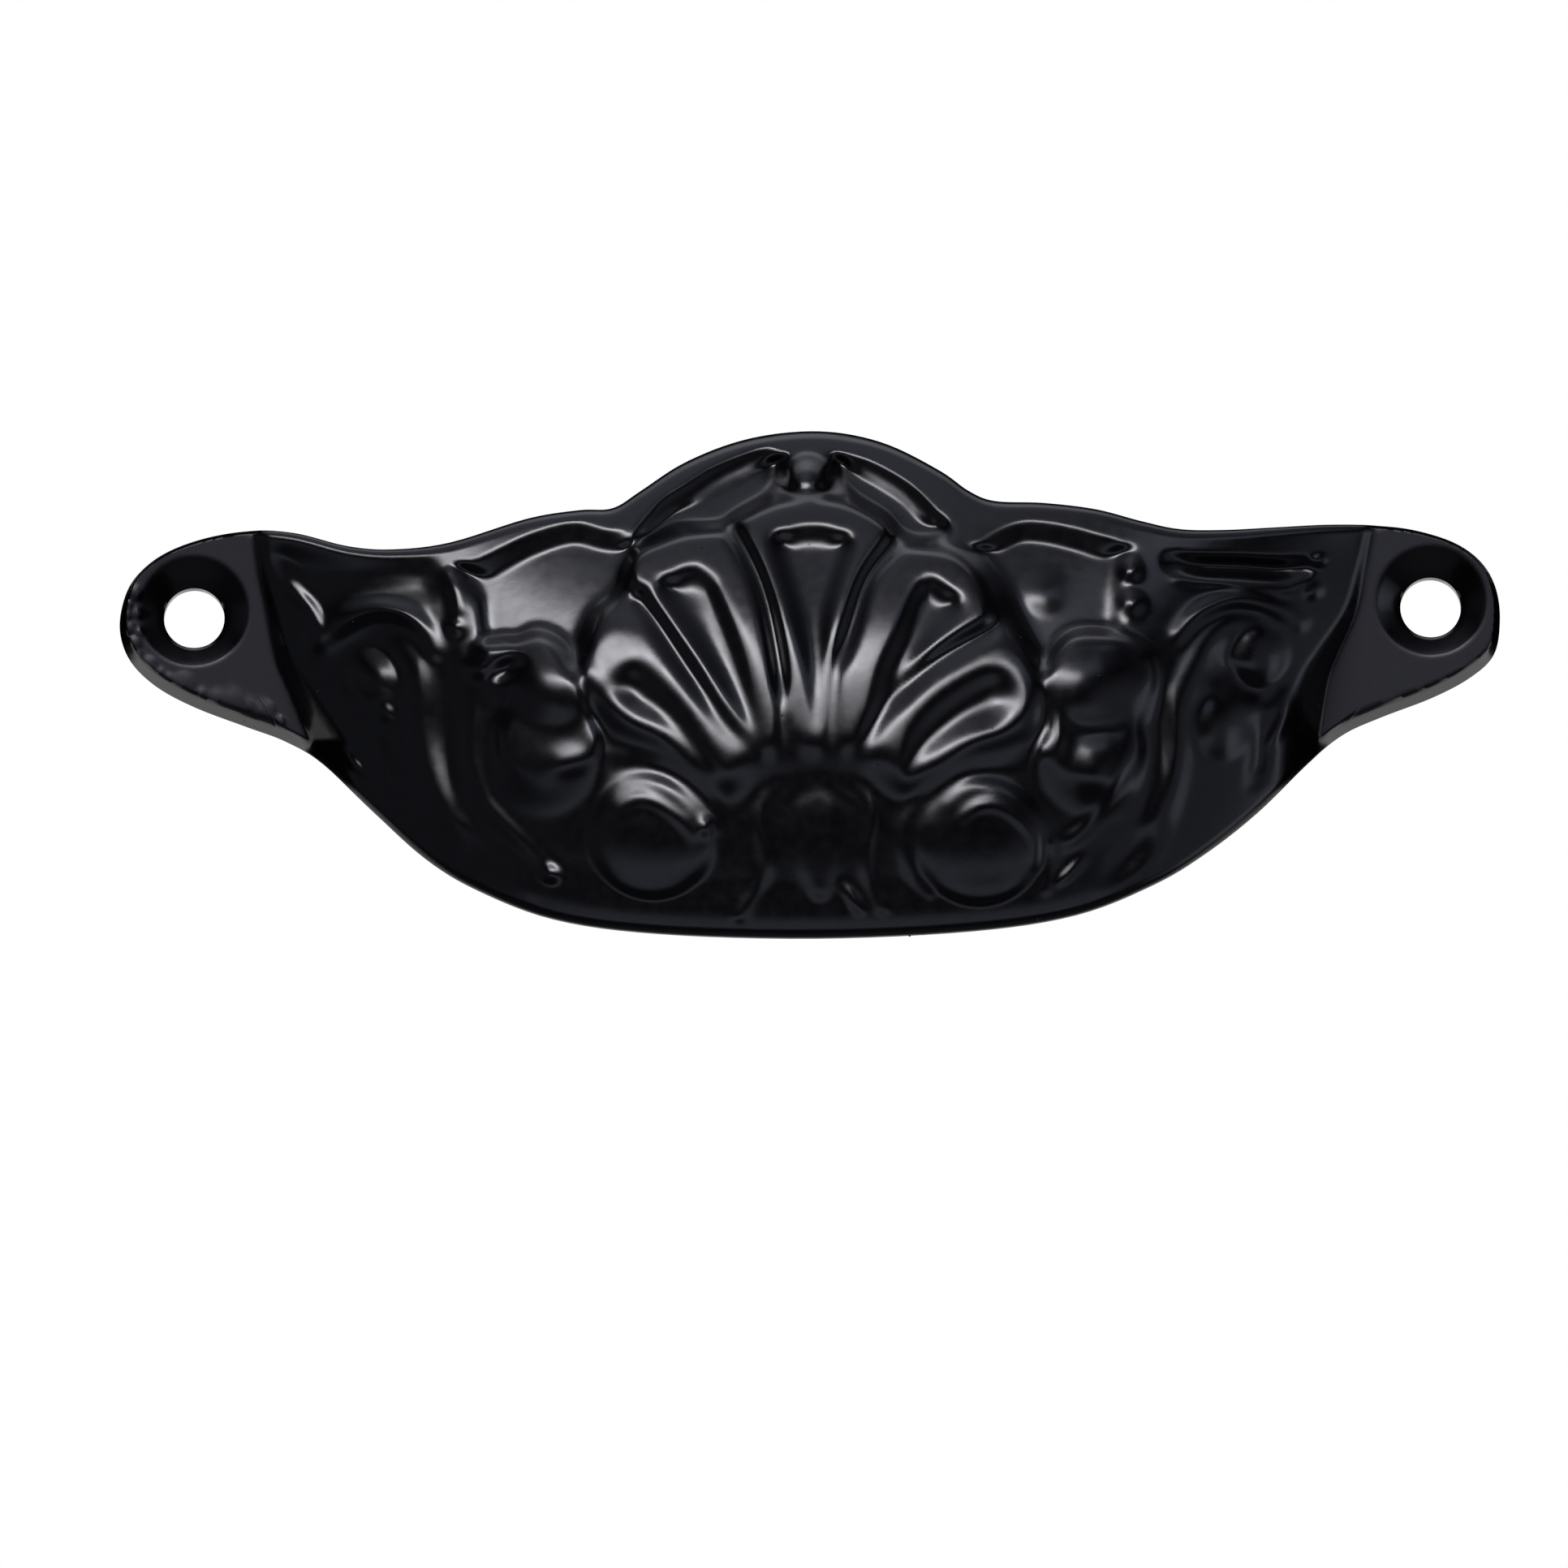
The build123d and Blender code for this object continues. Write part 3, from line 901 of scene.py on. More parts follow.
@dataclass(frozen=True)
class Ear:
    """Flat screw ear with a countersunk hole, and the lumps of paint on it."""

    side: Side
    hole_x: float
    bore: float
    thickness: float = EAR_THICKNESS
    draft: float = math.radians(10.0)
    sink: float = 4.35
    sink_slope: float = math.tan(math.radians(50.0))
    sink_blend: float = 0.2
    thinnest: float = 0.4
    lift: float = 0.25
    brim: float = 4.65
    sink_rings: tuple[float, ...] = (4.55, 4.45, 4.35, 4.25, 4.1, 3.9, 3.5, 3.0, 2.6)
    lumps: tuple[tuple[float, float, float, float], ...] = ()

    def layers(self) -> list[list[Form]]:
        """Lumps of paint as forms."""
        return [[Dome(x, v, size, size, rise, 0, 1) for x, v, size, rise in self.lumps]]

    def sunk(self, plane: DrawPlane, x: Array, v: Array) -> Array:
        """Distance of the ear's front from the wall, countersink included.

        Args:
            plane: the draw plane.
            x: places along the pull.
            v: places up the draw plane.

        Returns:
            Distances in millimetres.
        """
        # The line of sight is tilted, so depth and distance from the hole are found by turns
        gap = np.full(x.shape, self.thickness)
        for _ in range(6):
            z = (v - gap * math.sin(plane.tilt)) / math.cos(plane.tilt) - self.lift
            out = np.hypot(x - self.side.value * self.hole_x, z) - self.sink
            gap = np.minimum(self.thickness + out / self.sink_slope, self.thickness)
        out = np.clip(self.thickness + out / self.sink_slope, self.thinnest, None)
        return soft_min(np.full(x.shape, self.thickness), out, self.sink_blend)


class Skin:
    """Collects grids of points and welds them into one closed mesh."""

    weld: float = 2e-7
    sliver: float = 1e-8
    sharp: float = math.radians(50.0)

    def __init__(self) -> None:
        """Starts with no points."""
        self.points: list[Array] = []
        self.faces: list[Array] = []
        self.count = 0

    def grid(self, points: Array) -> None:
        """Adds a grid of quads.

        Args:
            points: rows by columns of points in metres.
        """
        rows, columns = points.shape[:2]
        at = np.arange(rows * columns).reshape(rows, columns) + self.count
        quads = np.stack([at[:-1, :-1], at[:-1, 1:], at[1:, 1:], at[1:, :-1]], axis=-1)
        self.points.append(points.reshape(-1, 3))
        self.faces.append(quads.reshape(-1, 4))
        self.count += rows * columns

    def mesh(self, name: str) -> bpy.types.Mesh:
        """Welds the grids, fills the flat backs of the ears and turns the faces outwards.

        Args:
            name: name of the mesh.

        Returns:
            The closed mesh.
        """
        mesh = bpy.data.meshes.new(name)
        mesh.from_pydata(np.vstack(self.points).tolist(), [], np.vstack(self.faces).tolist())
        made = bmesh.new()
        made.from_mesh(mesh)
        bmesh.ops.remove_doubles(made, verts=made.verts, dist=self.weld)
        bmesh.ops.dissolve_degenerate(made, edges=made.edges, dist=self.sliver)
        rims = [e for e in made.edges if e.is_boundary]
        for side in Side:
            own = [e for e in rims if e.verts[0].co.x * side.value > 0]
            bmesh.ops.triangle_fill(made, use_beauty=True, edges=own, normal=(0, 1, 0))
        bmesh.ops.recalc_face_normals(made, faces=made.faces)
        open_edges = sum(1 for e in made.edges if not e.is_manifold)
        made.to_mesh(mesh)
        made.free()
        mesh.polygons.foreach_set("use_smooth", np.ones(len(mesh.polygons), bool))
        mesh.set_sharp_from_angle(angle=self.sharp)
        LOG.info("%s: %d faces, %d open edges", name, len(mesh.polygons), open_edges)
        return mesh


@dataclass
class Casting:
    """The whole bin pull as one painted casting."""

    plane: DrawPlane
    hood: Hood
    outline: Outline
    ears: tuple[Ear, Ear]
    carving: list[list[Form]]
    columns: int = 390
    rows: int = 165
    edge_rows: int = 4
    back_rows: tuple[int, int, int] = (4, 8, 20)
    back_rim: Point = (0.6, 1.6)
    ear_arc: int = 110
    ear_rings: int = 16
    ring_power: float = 1.5
    seam: Point = (43.0, 0.25)
    edge: float = 0.8
    brow_blend: float = 1.2
    foot_blend: float = 0.7
    draft_blend: float = 0.4
    ear_start: Point = (0.6, 1.6)
    satin_facing: Point = (0.8, 0.15)
    satin_blend: float = 1.2
    coats: int = 4

    def front(self, x: Array, v: Array) -> Array:
        """Height of the front over the draw plane.

        Args:
            x: places along the pull.
            v: places up the draw plane.

        Returns:
            Heights in millimetres.
        """
        face = self.hood.face(x, v) + settle(relief(self.carving, x, v), self.coats)
        foot = self.hood.foot(x, v)
        left = self.ears[0].sunk(self.plane, x, v)
        right = self.ears[1].sunk(self.plane, x, v)
        lumps = relief([layer for ear in self.ears for layer in ear.layers()], x, v)
        ear = self.plane.off_wall(v, np.where(x < 0, left, right)) + lumps
        flank = ear + foot / math.tan(self.hood.flank_lean)
        body = soft_max(soft_min(face, flank, self.brow_blend), ear, self.foot_blend)
        gap, rise = self.outline.gap(x, v)
        inner = np.clip(self.edge - gap, 0, self.edge)
        rounded = body - self.edge + np.sqrt(self.edge**2 - inner**2)
        # The drafted side of the ear starts a tenth up, so that it doesn't run out to nothing
        skirt = self.ears[0].thickness * (math.tan(self.ears[0].draft) - math.tan(self.plane.tilt) * rise)
        ramp = self.plane.off_wall(v, self.ears[0].thickness * (0.1 + 0.9 * gap / np.maximum(skirt, 0.25)))
        drafted = soft_min(body, ramp, self.draft_blend)
        on_ear = ease((self.ear_start[0] - foot) / self.ear_start[1])
        return rounded * (1 - on_ear) + drafted * on_ear

    def across(self, u: Array, v: Array) -> Array:
        """Places along the pull of the grid's columns, which lean outwards as the flanks do."""
        return u * (self.seam[0] + self.seam[1] * v)

    def build(self) -> bpy.types.Object:
        """Builds the casting's mesh.

        Returns:
            The object, at the origin.
        """
        skin = Skin()
        u = np.linspace(-1, 1, self.columns + 1)[None, :]
        top, low = np.zeros_like(u), np.zeros_like(u)
        # A leaning column's end and its place along the edge are found by turns
        for _ in range(25):
            top = self.outline.edge(self.across(u, top), upper=True)
            low = self.outline.edge(self.across(u, low), upper=False)
        # Rows lie closer together near both edges
        t = np.linspace(0, 1, self.rows + 1)[:, None]
        v = top + (low - top) * (t - 0.5 * np.sin(2 * np.pi * t) / (2 * np.pi))
        x = self.across(u, v)
        w = self.front(x, v)
        skin.grid(self.plane.place(x, v, w))
        # The back has rows at the hollow's upper end, so that its edge stays clean
        roof, half = self.hood.roof(u * self.seam[0]), self.hood.hollow_slope / 2
        rim_end, roof_start = (top - rim for rim in self.back_rim)
        stops = (top, np.minimum(roof + half, rim_end), np.minimum(roof - half, roof_start), low)
        parts = [
            a + (b - a) * np.linspace(0, 1, n, endpoint=False)[:, None]
            for a, b, n in zip(stops[:-1], stops[1:], self.back_rows)
        ]
        back_v = np.vstack(parts + [low])
        back_x = self.across(u, back_v)
        back_w = self.hood.back(back_x, back_v)
        skin.grid(self.plane.place(back_x, back_v, back_w))
        for row in (0, -1):
            self.wall_strip(skin, x[row], v[row], w[row], back_w[row])
        for ear in self.ears:
            column = 0 if ear.side is Side.LEFT else -1
            self.build_ear(skin, ear, x[:, column], v[:, column])
        return add_object("bin_pull_casting", skin.mesh("bin_pull_casting"))

    def wall_strip(self, skin: Skin, x: Array, v: Array, front: Array, back: Array) -> None:
        """Adds the edge of the casting between its front and its back.

        Args:
            skin: mesh in the making.
            x: places along the edge.
            v: heights of the edge.
            front: height of the front there.
            back: height of the back there.
        """
        steps = np.linspace(0, 1, self.edge_rows + 1)[:, None]
        skin.grid(self.plane.place(x, v, front + (back - front) * steps))

    def build_ear(self, skin: Skin, ear: Ear, seam_x: Array, seam_v: Array) -> None:
        """Adds an ear: rings of points from its edge to its screw hole, and the bore.

        Args:
            skin: mesh in the making.
            ear: the ear.
            seam_x: places of the line shared with the hood, from the top down.
            seam_v: heights of that line.
        """
        sign = ear.side.value
        line = self.outline.line()
        beyond = np.nonzero(sign * line[:, 0] > self.seam[0] + self.seam[1] * line[:, 1])[0]
        split = int(np.argmax(np.diff(np.append(beyond, beyond[0] + len(line))) > 1))
        order = np.roll(beyond, -split - 1)
        arc = line[order] if sign > 0 else line[order][::-1]
        arc = np.vstack([(seam_x[0], seam_v[0]), arc, (seam_x[-1], seam_v[-1])])
        run = np.append(0, np.cumsum(np.hypot(*np.diff(arc, axis=0).T)))
        at = np.linspace(0, run[-1], self.ear_arc + 1)
        arc_x, arc_v = np.interp(at, run, arc[:, 0]), np.interp(at, run, arc[:, 1])
        loop_x, loop_v = np.append(arc_x, seam_x[-2::-1]), np.append(arc_v, seam_v[-2::-1])

        centre = sign * ear.hole_x
        middle = ear.thickness * math.sin(self.plane.tilt) + ear.lift
        turn = np.arctan2(loop_v - middle, loop_x - centre)
        rows_x: list[Array] = []
        rows_v: list[Array] = []
        # Rings lie closer together near the edge
        for i in range(self.ear_rings + 1):
            q = (i / self.ear_rings) ** self.ring_power
            rows_x.append((1 - q) * loop_x + q * (centre + ear.brim * np.cos(turn)))
            rows_v.append((1 - q) * loop_v + q * (middle + ear.brim * np.sin(turn)))
        floor = ear.thickness - (ear.sink - ear.bore) / ear.sink_slope
        for radius in ear.sink_rings:
            share = max(0.0, (ear.sink - radius) / (ear.sink - ear.bore))
            mid = (ear.thickness + (floor - ear.thickness) * share) * math.sin(self.plane.tilt) + ear.lift
            rows_x.append(centre + radius * np.cos(turn))
            rows_v.append(mid + radius * np.sin(turn))
        x, v = np.array(rows_x), np.array(rows_v)
        w = self.front(x, v)
        # Two close rings keep the front edge of the bore crisp
        bore = [self.bore_ring(ear, turn, gap)[None] for gap in (floor - 0.1, floor - 0.3, floor / 3, 0.0)]
        skin.grid(np.vstack([self.plane.place(x, v, w), *bore]))
        self.wall_strip(skin, arc_x, arc_v, w[0, : len(arc_x)], self.plane.off_wall(arc_v, 0.0))

    def bore_ring(self, ear: Ear, turn: Array, gap: float) -> Array:
        """Ring of points on the bore of the screw hole.

        Args:
            ear: the ear with the hole.
            turn: angles of the points.
            gap: distance from the wall.

        Returns:
            Points in metres.
        """
        x = ear.side.value * ear.hole_x + ear.bore * np.cos(turn)
        return np.stack([x, np.full(x.shape, -gap), ear.bore * np.sin(turn)], axis=-1) * MM

    def dress(self, piece: bpy.types.Object, paint: bpy.types.Material) -> None:
        """Marks where the paint is satin and sets the material.

        Args:
            piece: the casting.
            paint: its paint.
        """
        mesh = piece.data
        co = np.empty(len(mesh.vertices) * 3, np.float32)
        mesh.vertices.foreach_get("co", co)
        co = co.reshape(-1, 3).astype(float) / MM
        v = co[:, 2] * math.cos(self.plane.tilt) - co[:, 1] * math.sin(self.plane.tilt)
        # Only the faces of the ears that look forwards are satin and take the lighter colour of painted sheen
        facing = np.empty(len(mesh.vertices) * 3, np.float32)
        mesh.vertex_normals.foreach_get("vector", facing)
        flat = ease((-facing.reshape(-1, 3)[:, 1] - self.satin_facing[0]) / self.satin_facing[1])
        satin = ease(0.5 - self.hood.foot(co[:, 0], v) / self.satin_blend) * flat
        layer = mesh.attributes.new("satin", "FLOAT", "POINT")
        layer.data.foreach_set("value", satin.astype(np.float32))
        mesh.materials.append(paint)


@dataclass(frozen=True)
class GlossPaint:
    """Thick gloss black paint over cast iron, duller on the flat ears, which also get a lighter colour as
    painted sheen.
    """

    colour: str = "#070709"
    painted_sheen: str = "#2A2A2F"
    gloss: float = 0.2
    satin: float = 0.5
    ior: float = 1.5
    uneven: Point = (-0.04, 0.05)
    peel: float = 0.9
    peel_strength: float = 0.25
    grain: float = 0.25
    grain_strength: Point = (0.08, 0.35)
    bump: float = 0.02

    def build(self) -> bpy.types.Material:
        """Builds the material.

        Returns:
            The material, named for what it is.
        """
        material = bpy.data.materials.new("gloss black paint")
        tree = empty_tree(material)
        where = add_node(tree, "ShaderNodeTexCoord").outputs["Object"]
        satin = add_node(tree, "ShaderNodeAttribute", {"attribute_name": "satin"}).outputs["Fac"]
        # Brush-thick paint lies in soft waves about a millimetre across, some of them glossier
        peel = add_node(tree, "ShaderNodeTexNoise", Vector=where, Scale=1 / (self.peel * MM), Detail=1.0)
        even = add_node(tree, "ShaderNodeMapRange", Value=satin, To_Min=self.gloss, To_Max=self.satin)
        patchy = add_node(tree, "ShaderNodeMapRange", Value=peel, To_Min=self.uneven[0],
                          To_Max=self.uneven[1])  # fmt: skip
        rough = add_node(tree, "ShaderNodeMath", {"operation": "ADD"}, Value=even, Value_001=patchy)
        waves = add_node(tree, "ShaderNodeBump", Height=peel, Strength=self.peel_strength,
                         Distance=self.bump * MM)  # fmt: skip
        # Fine grain of the casting shows through on the ears, and a lighter colour there is painted sheen
        grain = add_node(tree, "ShaderNodeTexNoise", Vector=where, Scale=1 / (self.grain * MM), Detail=2.0)
        depth = add_node(tree, "ShaderNodeMapRange", Value=satin, To_Min=self.grain_strength[0],
                         To_Max=self.grain_strength[1])  # fmt: skip
        bump = add_node(tree, "ShaderNodeBump", Height=grain, Strength=depth, Distance=self.bump * MM,
                        Normal=waves)  # fmt: skip
        # The ears' lighter colour is painted sheen, standing in for the grey light their flat faces reflect
        tone = add_node(tree, "ShaderNodeMix", {"data_type": "RGBA"}, Factor_Float=satin,
                        A_Color=linear(self.colour), B_Color=linear(self.painted_sheen))  # fmt: skip
        shader = add_node(tree, "ShaderNodeBsdfPrincipled", Base_Color=tone.outputs[2], Roughness=rough,
                          IOR=self.ior, Normal=bump)  # fmt: skip
        add_node(tree, "ShaderNodeOutputMaterial", Surface=shader)
        return material


@dataclass(frozen=True)
class PaintNibs:
    """Specks of dust that the paint has covered, scattered over the front of the casting."""

    per_square_mm: float = 0.012
    smallest: float = 0.04
    largest: float = 0.1
    seed: int = 7
    front_below: float = -0.2

    def build(self, casting: bpy.types.Object, paint: bpy.types.Material) -> bpy.types.Object:
        """Scatters the nibs.

        Args:
            casting: the piece that carries them.
            paint: their paint.

        Returns:
            The nibs as one object.
        """
        inputs = {
            "Density": ("NodeSocketFloat", self.per_square_mm / MM**2),
            "Smallest": ("NodeSocketFloat", self.smallest * MM),
            "Largest": ("NodeSocketFloat", self.largest * MM),
            "Seed": ("NodeSocketInt", self.seed),
            "Material": ("NodeSocketMaterial", paint),
        }
        tree = bpy.data.node_groups.new("paint nibs", "GeometryNodeTree")
        tree.interface.new_socket("Geometry", in_out="INPUT", socket_type="NodeSocketGeometry")
        values = {
            tree.interface.new_socket(name, in_out="INPUT", socket_type=kind).identifier: value
            for name, (kind, value) in inputs.items()
        }
        tree.interface.new_socket("Geometry", in_out="OUTPUT", socket_type="NodeSocketGeometry")
        given = add_node(tree, "NodeGroupInput").outputs
        facing = add_node(tree, "GeometryNodeInputNormal").outputs["Normal"]
        depth = add_node(tree, "ShaderNodeSeparateXYZ", Vector=facing).outputs["Y"]
        front = add_node(tree, "FunctionNodeCompare", {"operation": "LESS_THAN"}, A=depth, B=self.front_below)
        spread = add_node(tree, "GeometryNodeDistributePointsOnFaces", Mesh=given["Geometry"],
                          Selection=front, Density=given["Density"], Seed=given["Seed"])  # fmt: skip
        ball = add_node(tree, "GeometryNodeMeshIcoSphere", Radius=1.0, Subdivisions=2)
        size = add_node(tree, "FunctionNodeRandomValue", Min_001=given["Smallest"], Max_001=given["Largest"],
                        Seed=given["Seed"])  # fmt: skip
        put = add_node(tree, "GeometryNodeInstanceOnPoints", Points=spread, Instance=ball,
                       Rotation=spread.outputs["Rotation"], Scale=size.outputs[1])  # fmt: skip
        real = add_node(tree, "GeometryNodeRealizeInstances", Geometry=put)
        smooth = add_node(tree, "GeometryNodeSetShadeSmooth", Geometry=real)
        coat = add_node(tree, "GeometryNodeSetMaterial", Geometry=smooth, Material=given["Material"])
        add_node(tree, "NodeGroupOutput", Geometry=coat)
        modifier = casting.modifiers.new("nibs", "NODES")
        modifier.node_group = tree
        for identifier, value in values.items():
            modifier[identifier] = value
        casting.update_tag()
        seen = casting.evaluated_get(bpy.context.evaluated_depsgraph_get())
        mesh = bpy.data.meshes.new_from_object(seen)
        casting.modifiers.remove(modifier)
        LOG.info("paint_nibs: %d faces", len(mesh.polygons))
        return add_object("paint_nibs", mesh)


@dataclass(frozen=True)
class Softbox:
    """Rectangular studio light aimed at the pull."""

    name: str
    azimuth: float
    elevation: float
    width: float
    height: float
    radiance: float
    colour: str
    away: float = 1.2
    spread: float = 70.0

    def build(self) -> None:
        """Adds the light."""
        light = bpy.data.lights.new(self.name, "AREA")
        light.shape = "RECTANGLE"
        light.size, light.size_y = self.width, self.height
        light.spread = math.radians(self.spread)
        light.energy = self.radiance * math.pi * self.width * self.height
        light.color = linear(self.colour)[:3]
        lamp = add_object(self.name, light)
        turn, rise = math.radians(self.azimuth), math.radians(self.elevation)
        to = Vector((math.sin(turn) * math.cos(rise), -math.cos(turn) * math.cos(rise), math.sin(rise)))
        aim = to.to_track_quat("Z", "Y").to_matrix().to_4x4()
        lamp.matrix_world = Matrix.Translation(to * self.away) @ aim


@dataclass
class Studio:
    """Pale floor, white surround and soft lights.

    The room's levels of light are pairs of an elevation in degrees and a strength. Where its parts start and
    are full is given by how far a direction goes to the right or to the rear.
    """

    floor_drop: float = 0.6
    floor_size: float = 8.0
    floor_colour: str = "#9A9A99"
    floor_white: str = "#EDEDEC"
    floor_glow: float = 0.6
    floor_roughness: float = 0.9
    floor_mirrored_from: float = 0.5
    rear_mirrored_from: float = 0.97
    lights: tuple[Softbox, ...] = (
        Softbox("key softbox", -13, 55, 1.1, 0.176, 2.35, "#F8F8FF"),
        Softbox("key foot", -13, 47.6, 1.1, 0.138, 0.6, "#F8F8FF"),
        Softbox("blue window", 42, 55, 0.4, 0.3, 0.1, "#D4E0FF"),
        Softbox("side card", 85, 0, 0.36, 0.8, 0.1, "#E8ECFF"),
        Softbox("rear fill", 180, 66, 1.2, 0.4, 0.12, "#F4F6FF"),
    )
    ceiling_across: Point = (-0.25, 0.3)
    ceiling_shares: Point = (1.2, 0.5)
    horizon_ahead: Point = (-0.55, -0.9)
    sides_across: Point = (0.4, 0.75)
    sides_fore: Point = (0.35, 0.1)
    ceiling: tuple[Point, ...] = ((45, 0.0), (64, 0.25), (90, 0.6))
    horizon: tuple[Point, ...] = ((-8, 0.0), (2, 0.45), (11, 0.68), (19, 0.0))
    sides: tuple[Point, ...] = ((-12, 0.0), (4, 0.28), (24, 0.28), (42, 0.0))
    shady_side: float = 0.4
    tint: str = "#D8DCF2"

    def build(self) -> None:
        """Adds the floor, the lights and the surround."""
        for light in self.lights:
            light.build()
        bpy.context.scene.world = self.surround()
        mesh = bpy.data.meshes.new("floor")
        half = self.floor_size / 2
        corners = [(x * half, y * half, -self.floor_drop) for x, y in ((-1, -1), (1, -1), (1, 1), (-1, 1))]
        mesh.from_pydata(corners, [], [(0, 1, 2, 3)])
        mesh.materials.append(self.floor_finish())
        add_object("floor", mesh)

    @staticmethod
    def sees_white(
        tree: bpy.types.NodeTree, depth: bpy.types.NodeSocket, mirrored_from: float
    ) -> bpy.types.Node:
        """Picks the rays that see white: the camera's own, those that pass on, and gloss to the rear.

        Args:
            tree: node tree of the floor or of the surround.
            depth: how far to the rear a ray goes.
            mirrored_from: depth from which gloss mirrors white; in front of it the room is dark.

        Returns:
            Node that gives 1 for such a ray, and 0 for the others.
        """
        rays = add_node(tree, "ShaderNodeLightPath").outputs
        rear = add_node(tree, "ShaderNodeMath", {"operation": "GREATER_THAN"}, Value=depth,
                        Value_001=mirrored_from)  # fmt: skip
        gloss = add_node(tree, "ShaderNodeMath", {"operation": "MULTIPLY"}, Value=rays["Is Glossy Ray"],
                         Value_001=rear)  # fmt: skip
        direct = add_node(tree, "ShaderNodeMath", {"operation": "MAXIMUM"}, Value=rays["Is Camera Ray"],
                          Value_001=rays["Is Transmission Ray"])  # fmt: skip
        return add_node(tree, "ShaderNodeMath", {"operation": "MAXIMUM"}, Value=direct, Value_001=gloss)

    def floor_finish(self) -> bpy.types.Material:
        """Pale matt floor that the camera sees lit to near white.

        Returns:
            The material.
        """
        material = bpy.data.materials.new("pale studio floor")
        tree = empty_tree(material)
        where = add_node(tree, "ShaderNodeTexCoord").outputs["Object"]
        depth = add_node(tree, "ShaderNodeSeparateXYZ", Vector=where).outputs["Y"]
        seen = self.sees_white(tree, depth, self.floor_mirrored_from)
        level = add_node(tree, "ShaderNodeMapRange", Value=seen, To_Max=self.floor_glow)
        shader = add_node(tree, "ShaderNodeBsdfPrincipled", Base_Color=linear(self.floor_colour),
                          Roughness=self.floor_roughness, Emission_Color=linear(self.floor_white),
                          Emission_Strength=level)  # fmt: skip
        add_node(tree, "ShaderNodeOutputMaterial", Surface=shader)
        return material

    def room(self, tree: bpy.types.NodeTree, way: bpy.types.NodeOutputs) -> bpy.types.NodeSocket:
        """Dim room for the gloss to mirror.

        Args:
            tree: node tree of the surround.
            way: X, Y and Z of a ray's direction.

        Returns:
            Light of the room in that direction.
        """
        smooth = {"interpolation_type": "SMOOTHSTEP"}
        # The ceiling is lighter over the left, where the key hangs, and the horizon is light in front
        over = add_node(tree, "ShaderNodeMapRange", smooth, Value=way["X"],
                        From_Min=self.ceiling_across[0], From_Max=self.ceiling_across[1],
                        To_Min=self.ceiling_shares[0], To_Max=self.ceiling_shares[1])  # fmt: skip
        ahead = add_node(tree, "ShaderNodeMapRange", smooth, Value=way["Y"],
                         From_Min=self.horizon_ahead[0], From_Max=self.horizon_ahead[1])  # fmt: skip
        # The sides glow faintly towards the front, the left one less
        right = add_node(tree, "ShaderNodeMapRange", smooth, Value=way["X"],
                         From_Min=self.sides_across[0], From_Max=self.sides_across[1])  # fmt: skip
        left = add_node(tree, "ShaderNodeMapRange", smooth, Value=way["X"],
                        From_Min=-self.sides_across[0], From_Max=-self.sides_across[1],
                        To_Max=self.shady_side)  # fmt: skip
        fore = add_node(tree, "ShaderNodeMapRange", smooth, Value=way["Y"],
                        From_Min=self.sides_fore[0], From_Max=self.sides_fore[1])  # fmt: skip
        beside = add_node(tree, "ShaderNodeMath", {"operation": "ADD"}, Value=right, Value_001=left)
        flank = add_node(tree, "ShaderNodeMath", {"operation": "MULTIPLY"}, Value=beside, Value_001=fore)
        height = add_node(tree, "ShaderNodeMapRange", Value=way["Z"], From_Min=-1.0, From_Max=1.0)
        tint = linear(self.tint)
        add = {"data_type": "RGBA", "blend_type": "ADD"}
        light: Any = (0, 0, 0, 1)
        for levels, share in ((self.ceiling, over), (self.horizon, ahead), (self.sides, flank)):
            ramp = add_node(tree, "ShaderNodeValToRGB", Fac=height)
            points = ramp.color_ramp.elements
            for i, (angle, level) in enumerate(levels):
                place = (math.sin(math.radians(angle)) + 1) / 2
                point = points[i] if i < 2 else points.new(place)
                point.position = place
                point.color = (level * tint[0] / tint[2], level * tint[1] / tint[2], level, 1)
            light = add_node(tree, "ShaderNodeMix", add, Factor_Float=share, A_Color=light,
                             B_Color=ramp).outputs[2]  # fmt: skip
        return light

    def surround(self) -> bpy.types.World:
        """World that is white to the eye and to the rear, and else a dim room.

        Returns:
            The world.
        """
        world = bpy.data.worlds.new("studio surround")
        tree = empty_tree(world)
        course = add_node(tree, "ShaderNodeTexCoord").outputs["Generated"]
        way = add_node(tree, "ShaderNodeSeparateXYZ", Vector=course).outputs
        dim = add_node(tree, "ShaderNodeBackground", Color=self.room(tree, way), Strength=1.0)
        white = add_node(tree, "ShaderNodeBackground", Color=(1, 1, 1, 1), Strength=1.0)
        seen = self.sees_white(tree, way["Y"], self.rear_mirrored_from)
        both = add_node(tree, "ShaderNodeMixShader", Fac=seen, Shader=dim, Shader_001=white)
        add_node(tree, "ShaderNodeOutputWorld", Surface=both)
        return world


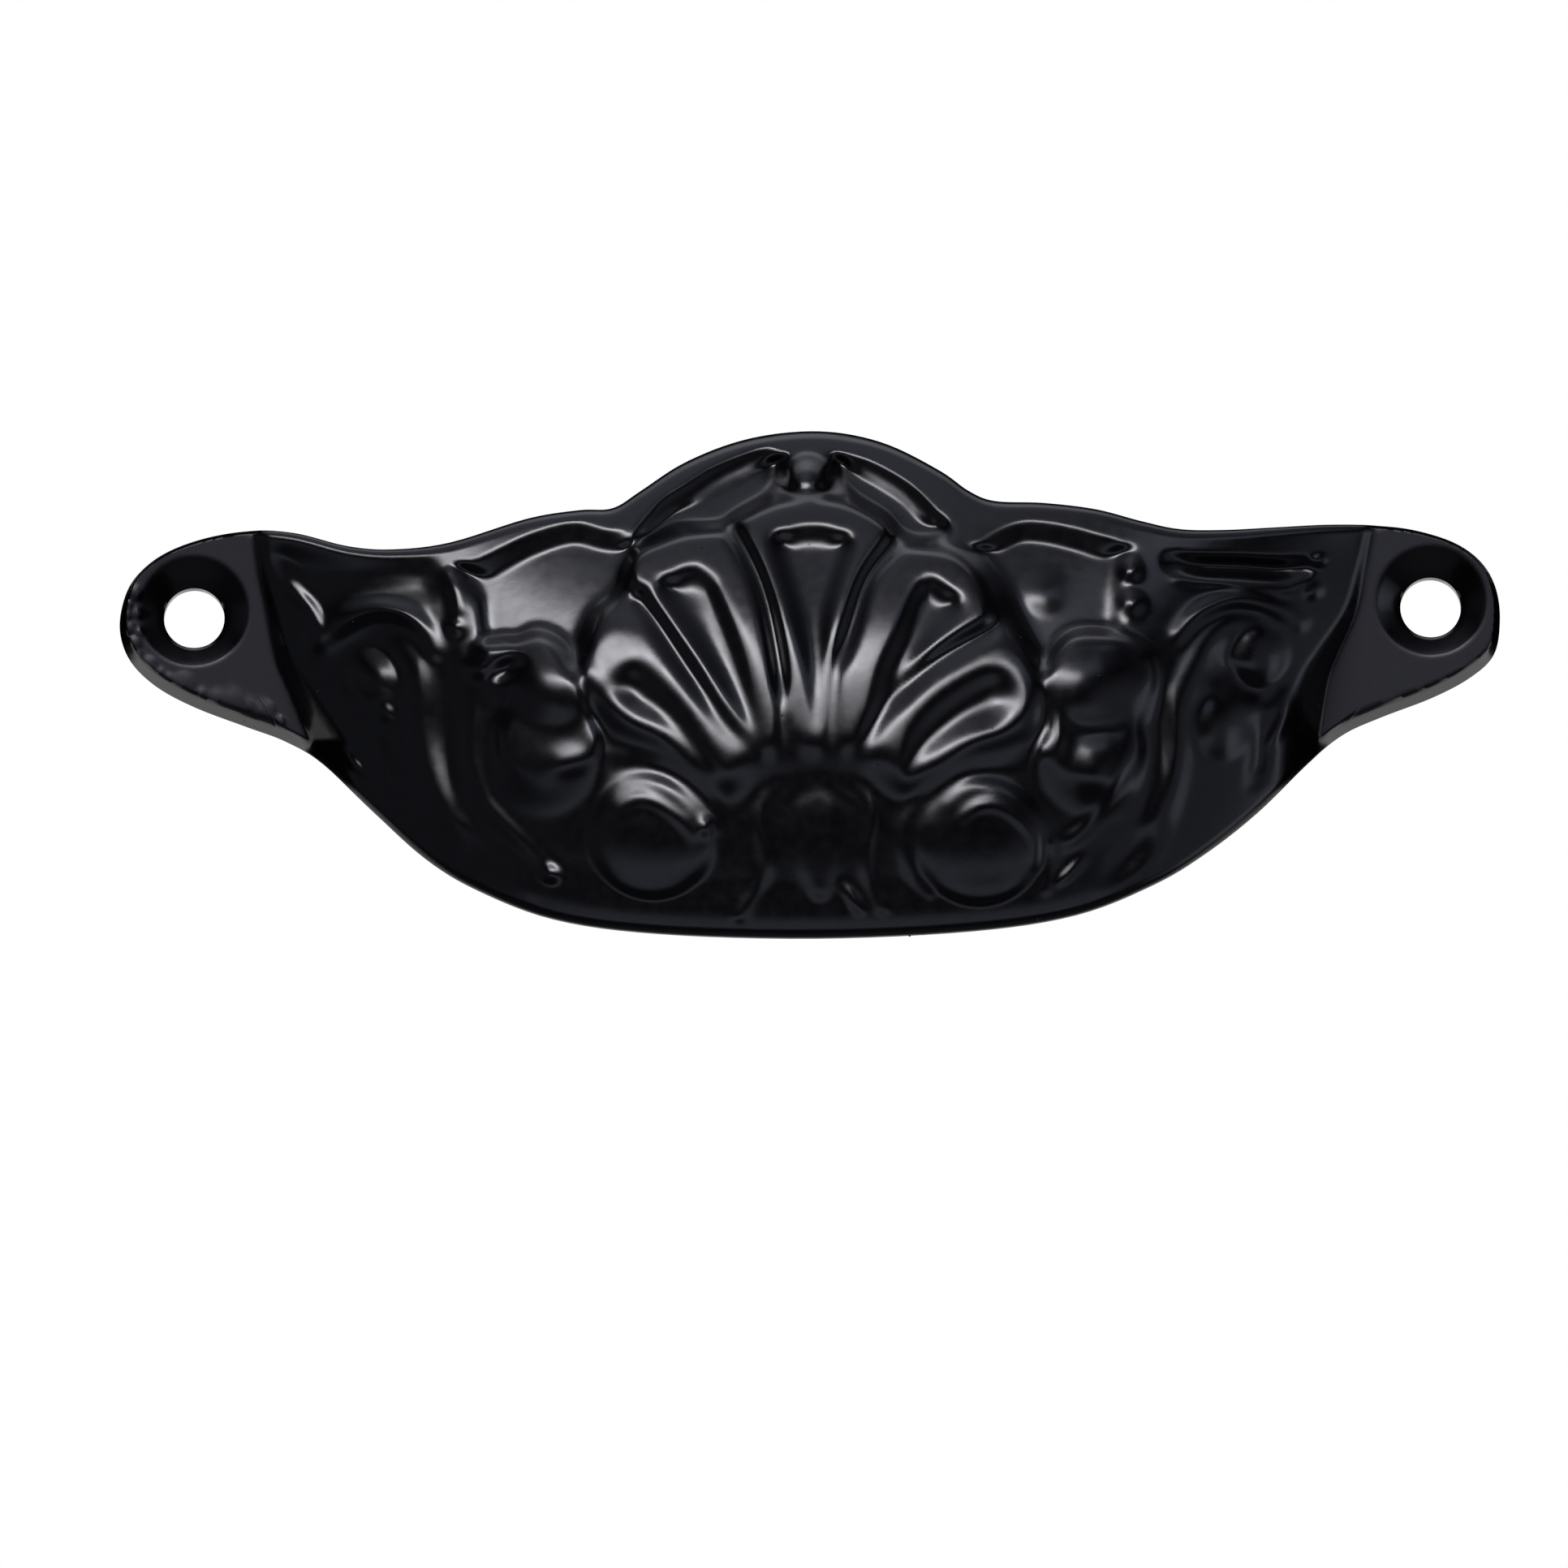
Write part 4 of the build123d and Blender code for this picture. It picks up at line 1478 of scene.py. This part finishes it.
@dataclass(frozen=True)
class PhotoCamera:
    """Long lens slightly below the pull, as the photograph was taken."""

    plane: DrawPlane
    frame_width: float = 121.62
    aim: Point = (-2.32, -13.07)
    depth: float = 3.0
    away: float = 1800.0
    roll: float = math.radians(0.492)

    def build(self) -> None:
        """Adds the camera and makes it the scene's own."""
        data = bpy.data.cameras.new("photo camera")
        data.sensor_width = 36.0
        data.lens = data.sensor_width * self.away / self.frame_width
        camera = add_object("photo camera", data)
        across = Vector((1, 0, 0)) * math.cos(self.roll) - self.plane.up * math.sin(self.roll)
        up = Vector((1, 0, 0)) * math.sin(self.roll) + self.plane.up * math.cos(self.roll)
        at = Vector((1, 0, 0)) * self.aim[0] + self.plane.up * self.aim[1]
        at = (at + self.plane.out * (self.depth + self.away)) * MM
        turn = Matrix((across, up, self.plane.out)).transposed().to_4x4()
        camera.matrix_world = Matrix.Translation(at) @ turn
        bpy.context.scene.camera = camera


def main() -> None:
    """Builds the pull, its paint, the studio and the camera."""
    logging.basicConfig(level=logging.INFO, format="%(name)s: %(message)s")
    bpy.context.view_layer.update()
    low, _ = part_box("bin_pull")
    screws = next(m for m in frame["record"]["mounts"] if m["kind"] == "bolt_pattern")["dims"]
    hole_x, bore = screws["spacing_x_mm"] / 2, screws["hole_r_mm"]
    plane, outline = DrawPlane(), Outline()
    motifs = (Panels(), Fan(), Leaves(), Scrolls(), Pendant(), Lip(outline))
    casting = Casting(
        plane=plane,
        hood=Hood(plane, projection=-low.y / MM - LIP_BAND_STANDS),
        outline=outline,
        ears=(Ear(Side.LEFT, hole_x, bore, lumps=LEFT_EAR_LUMPS), Ear(Side.RIGHT, hole_x, bore)),
        carving=[layer for motif in motifs for layer in motif.layers()],
    )
    paint = GlossPaint().build()
    pull = casting.build()
    casting.dress(pull, paint)
    nibs = PaintNibs().build(pull, paint)
    for piece in (pull, nibs):
        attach(piece, "root")
    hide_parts("bin_pull")
    Studio().build()
    LOG.info("studio: floor, lights and surround")
    PhotoCamera(plane).build()
    bpy.context.scene.view_settings.view_transform = "Standard"
    LOG.info("boxes written")


if __name__ == "__main__":
    main()
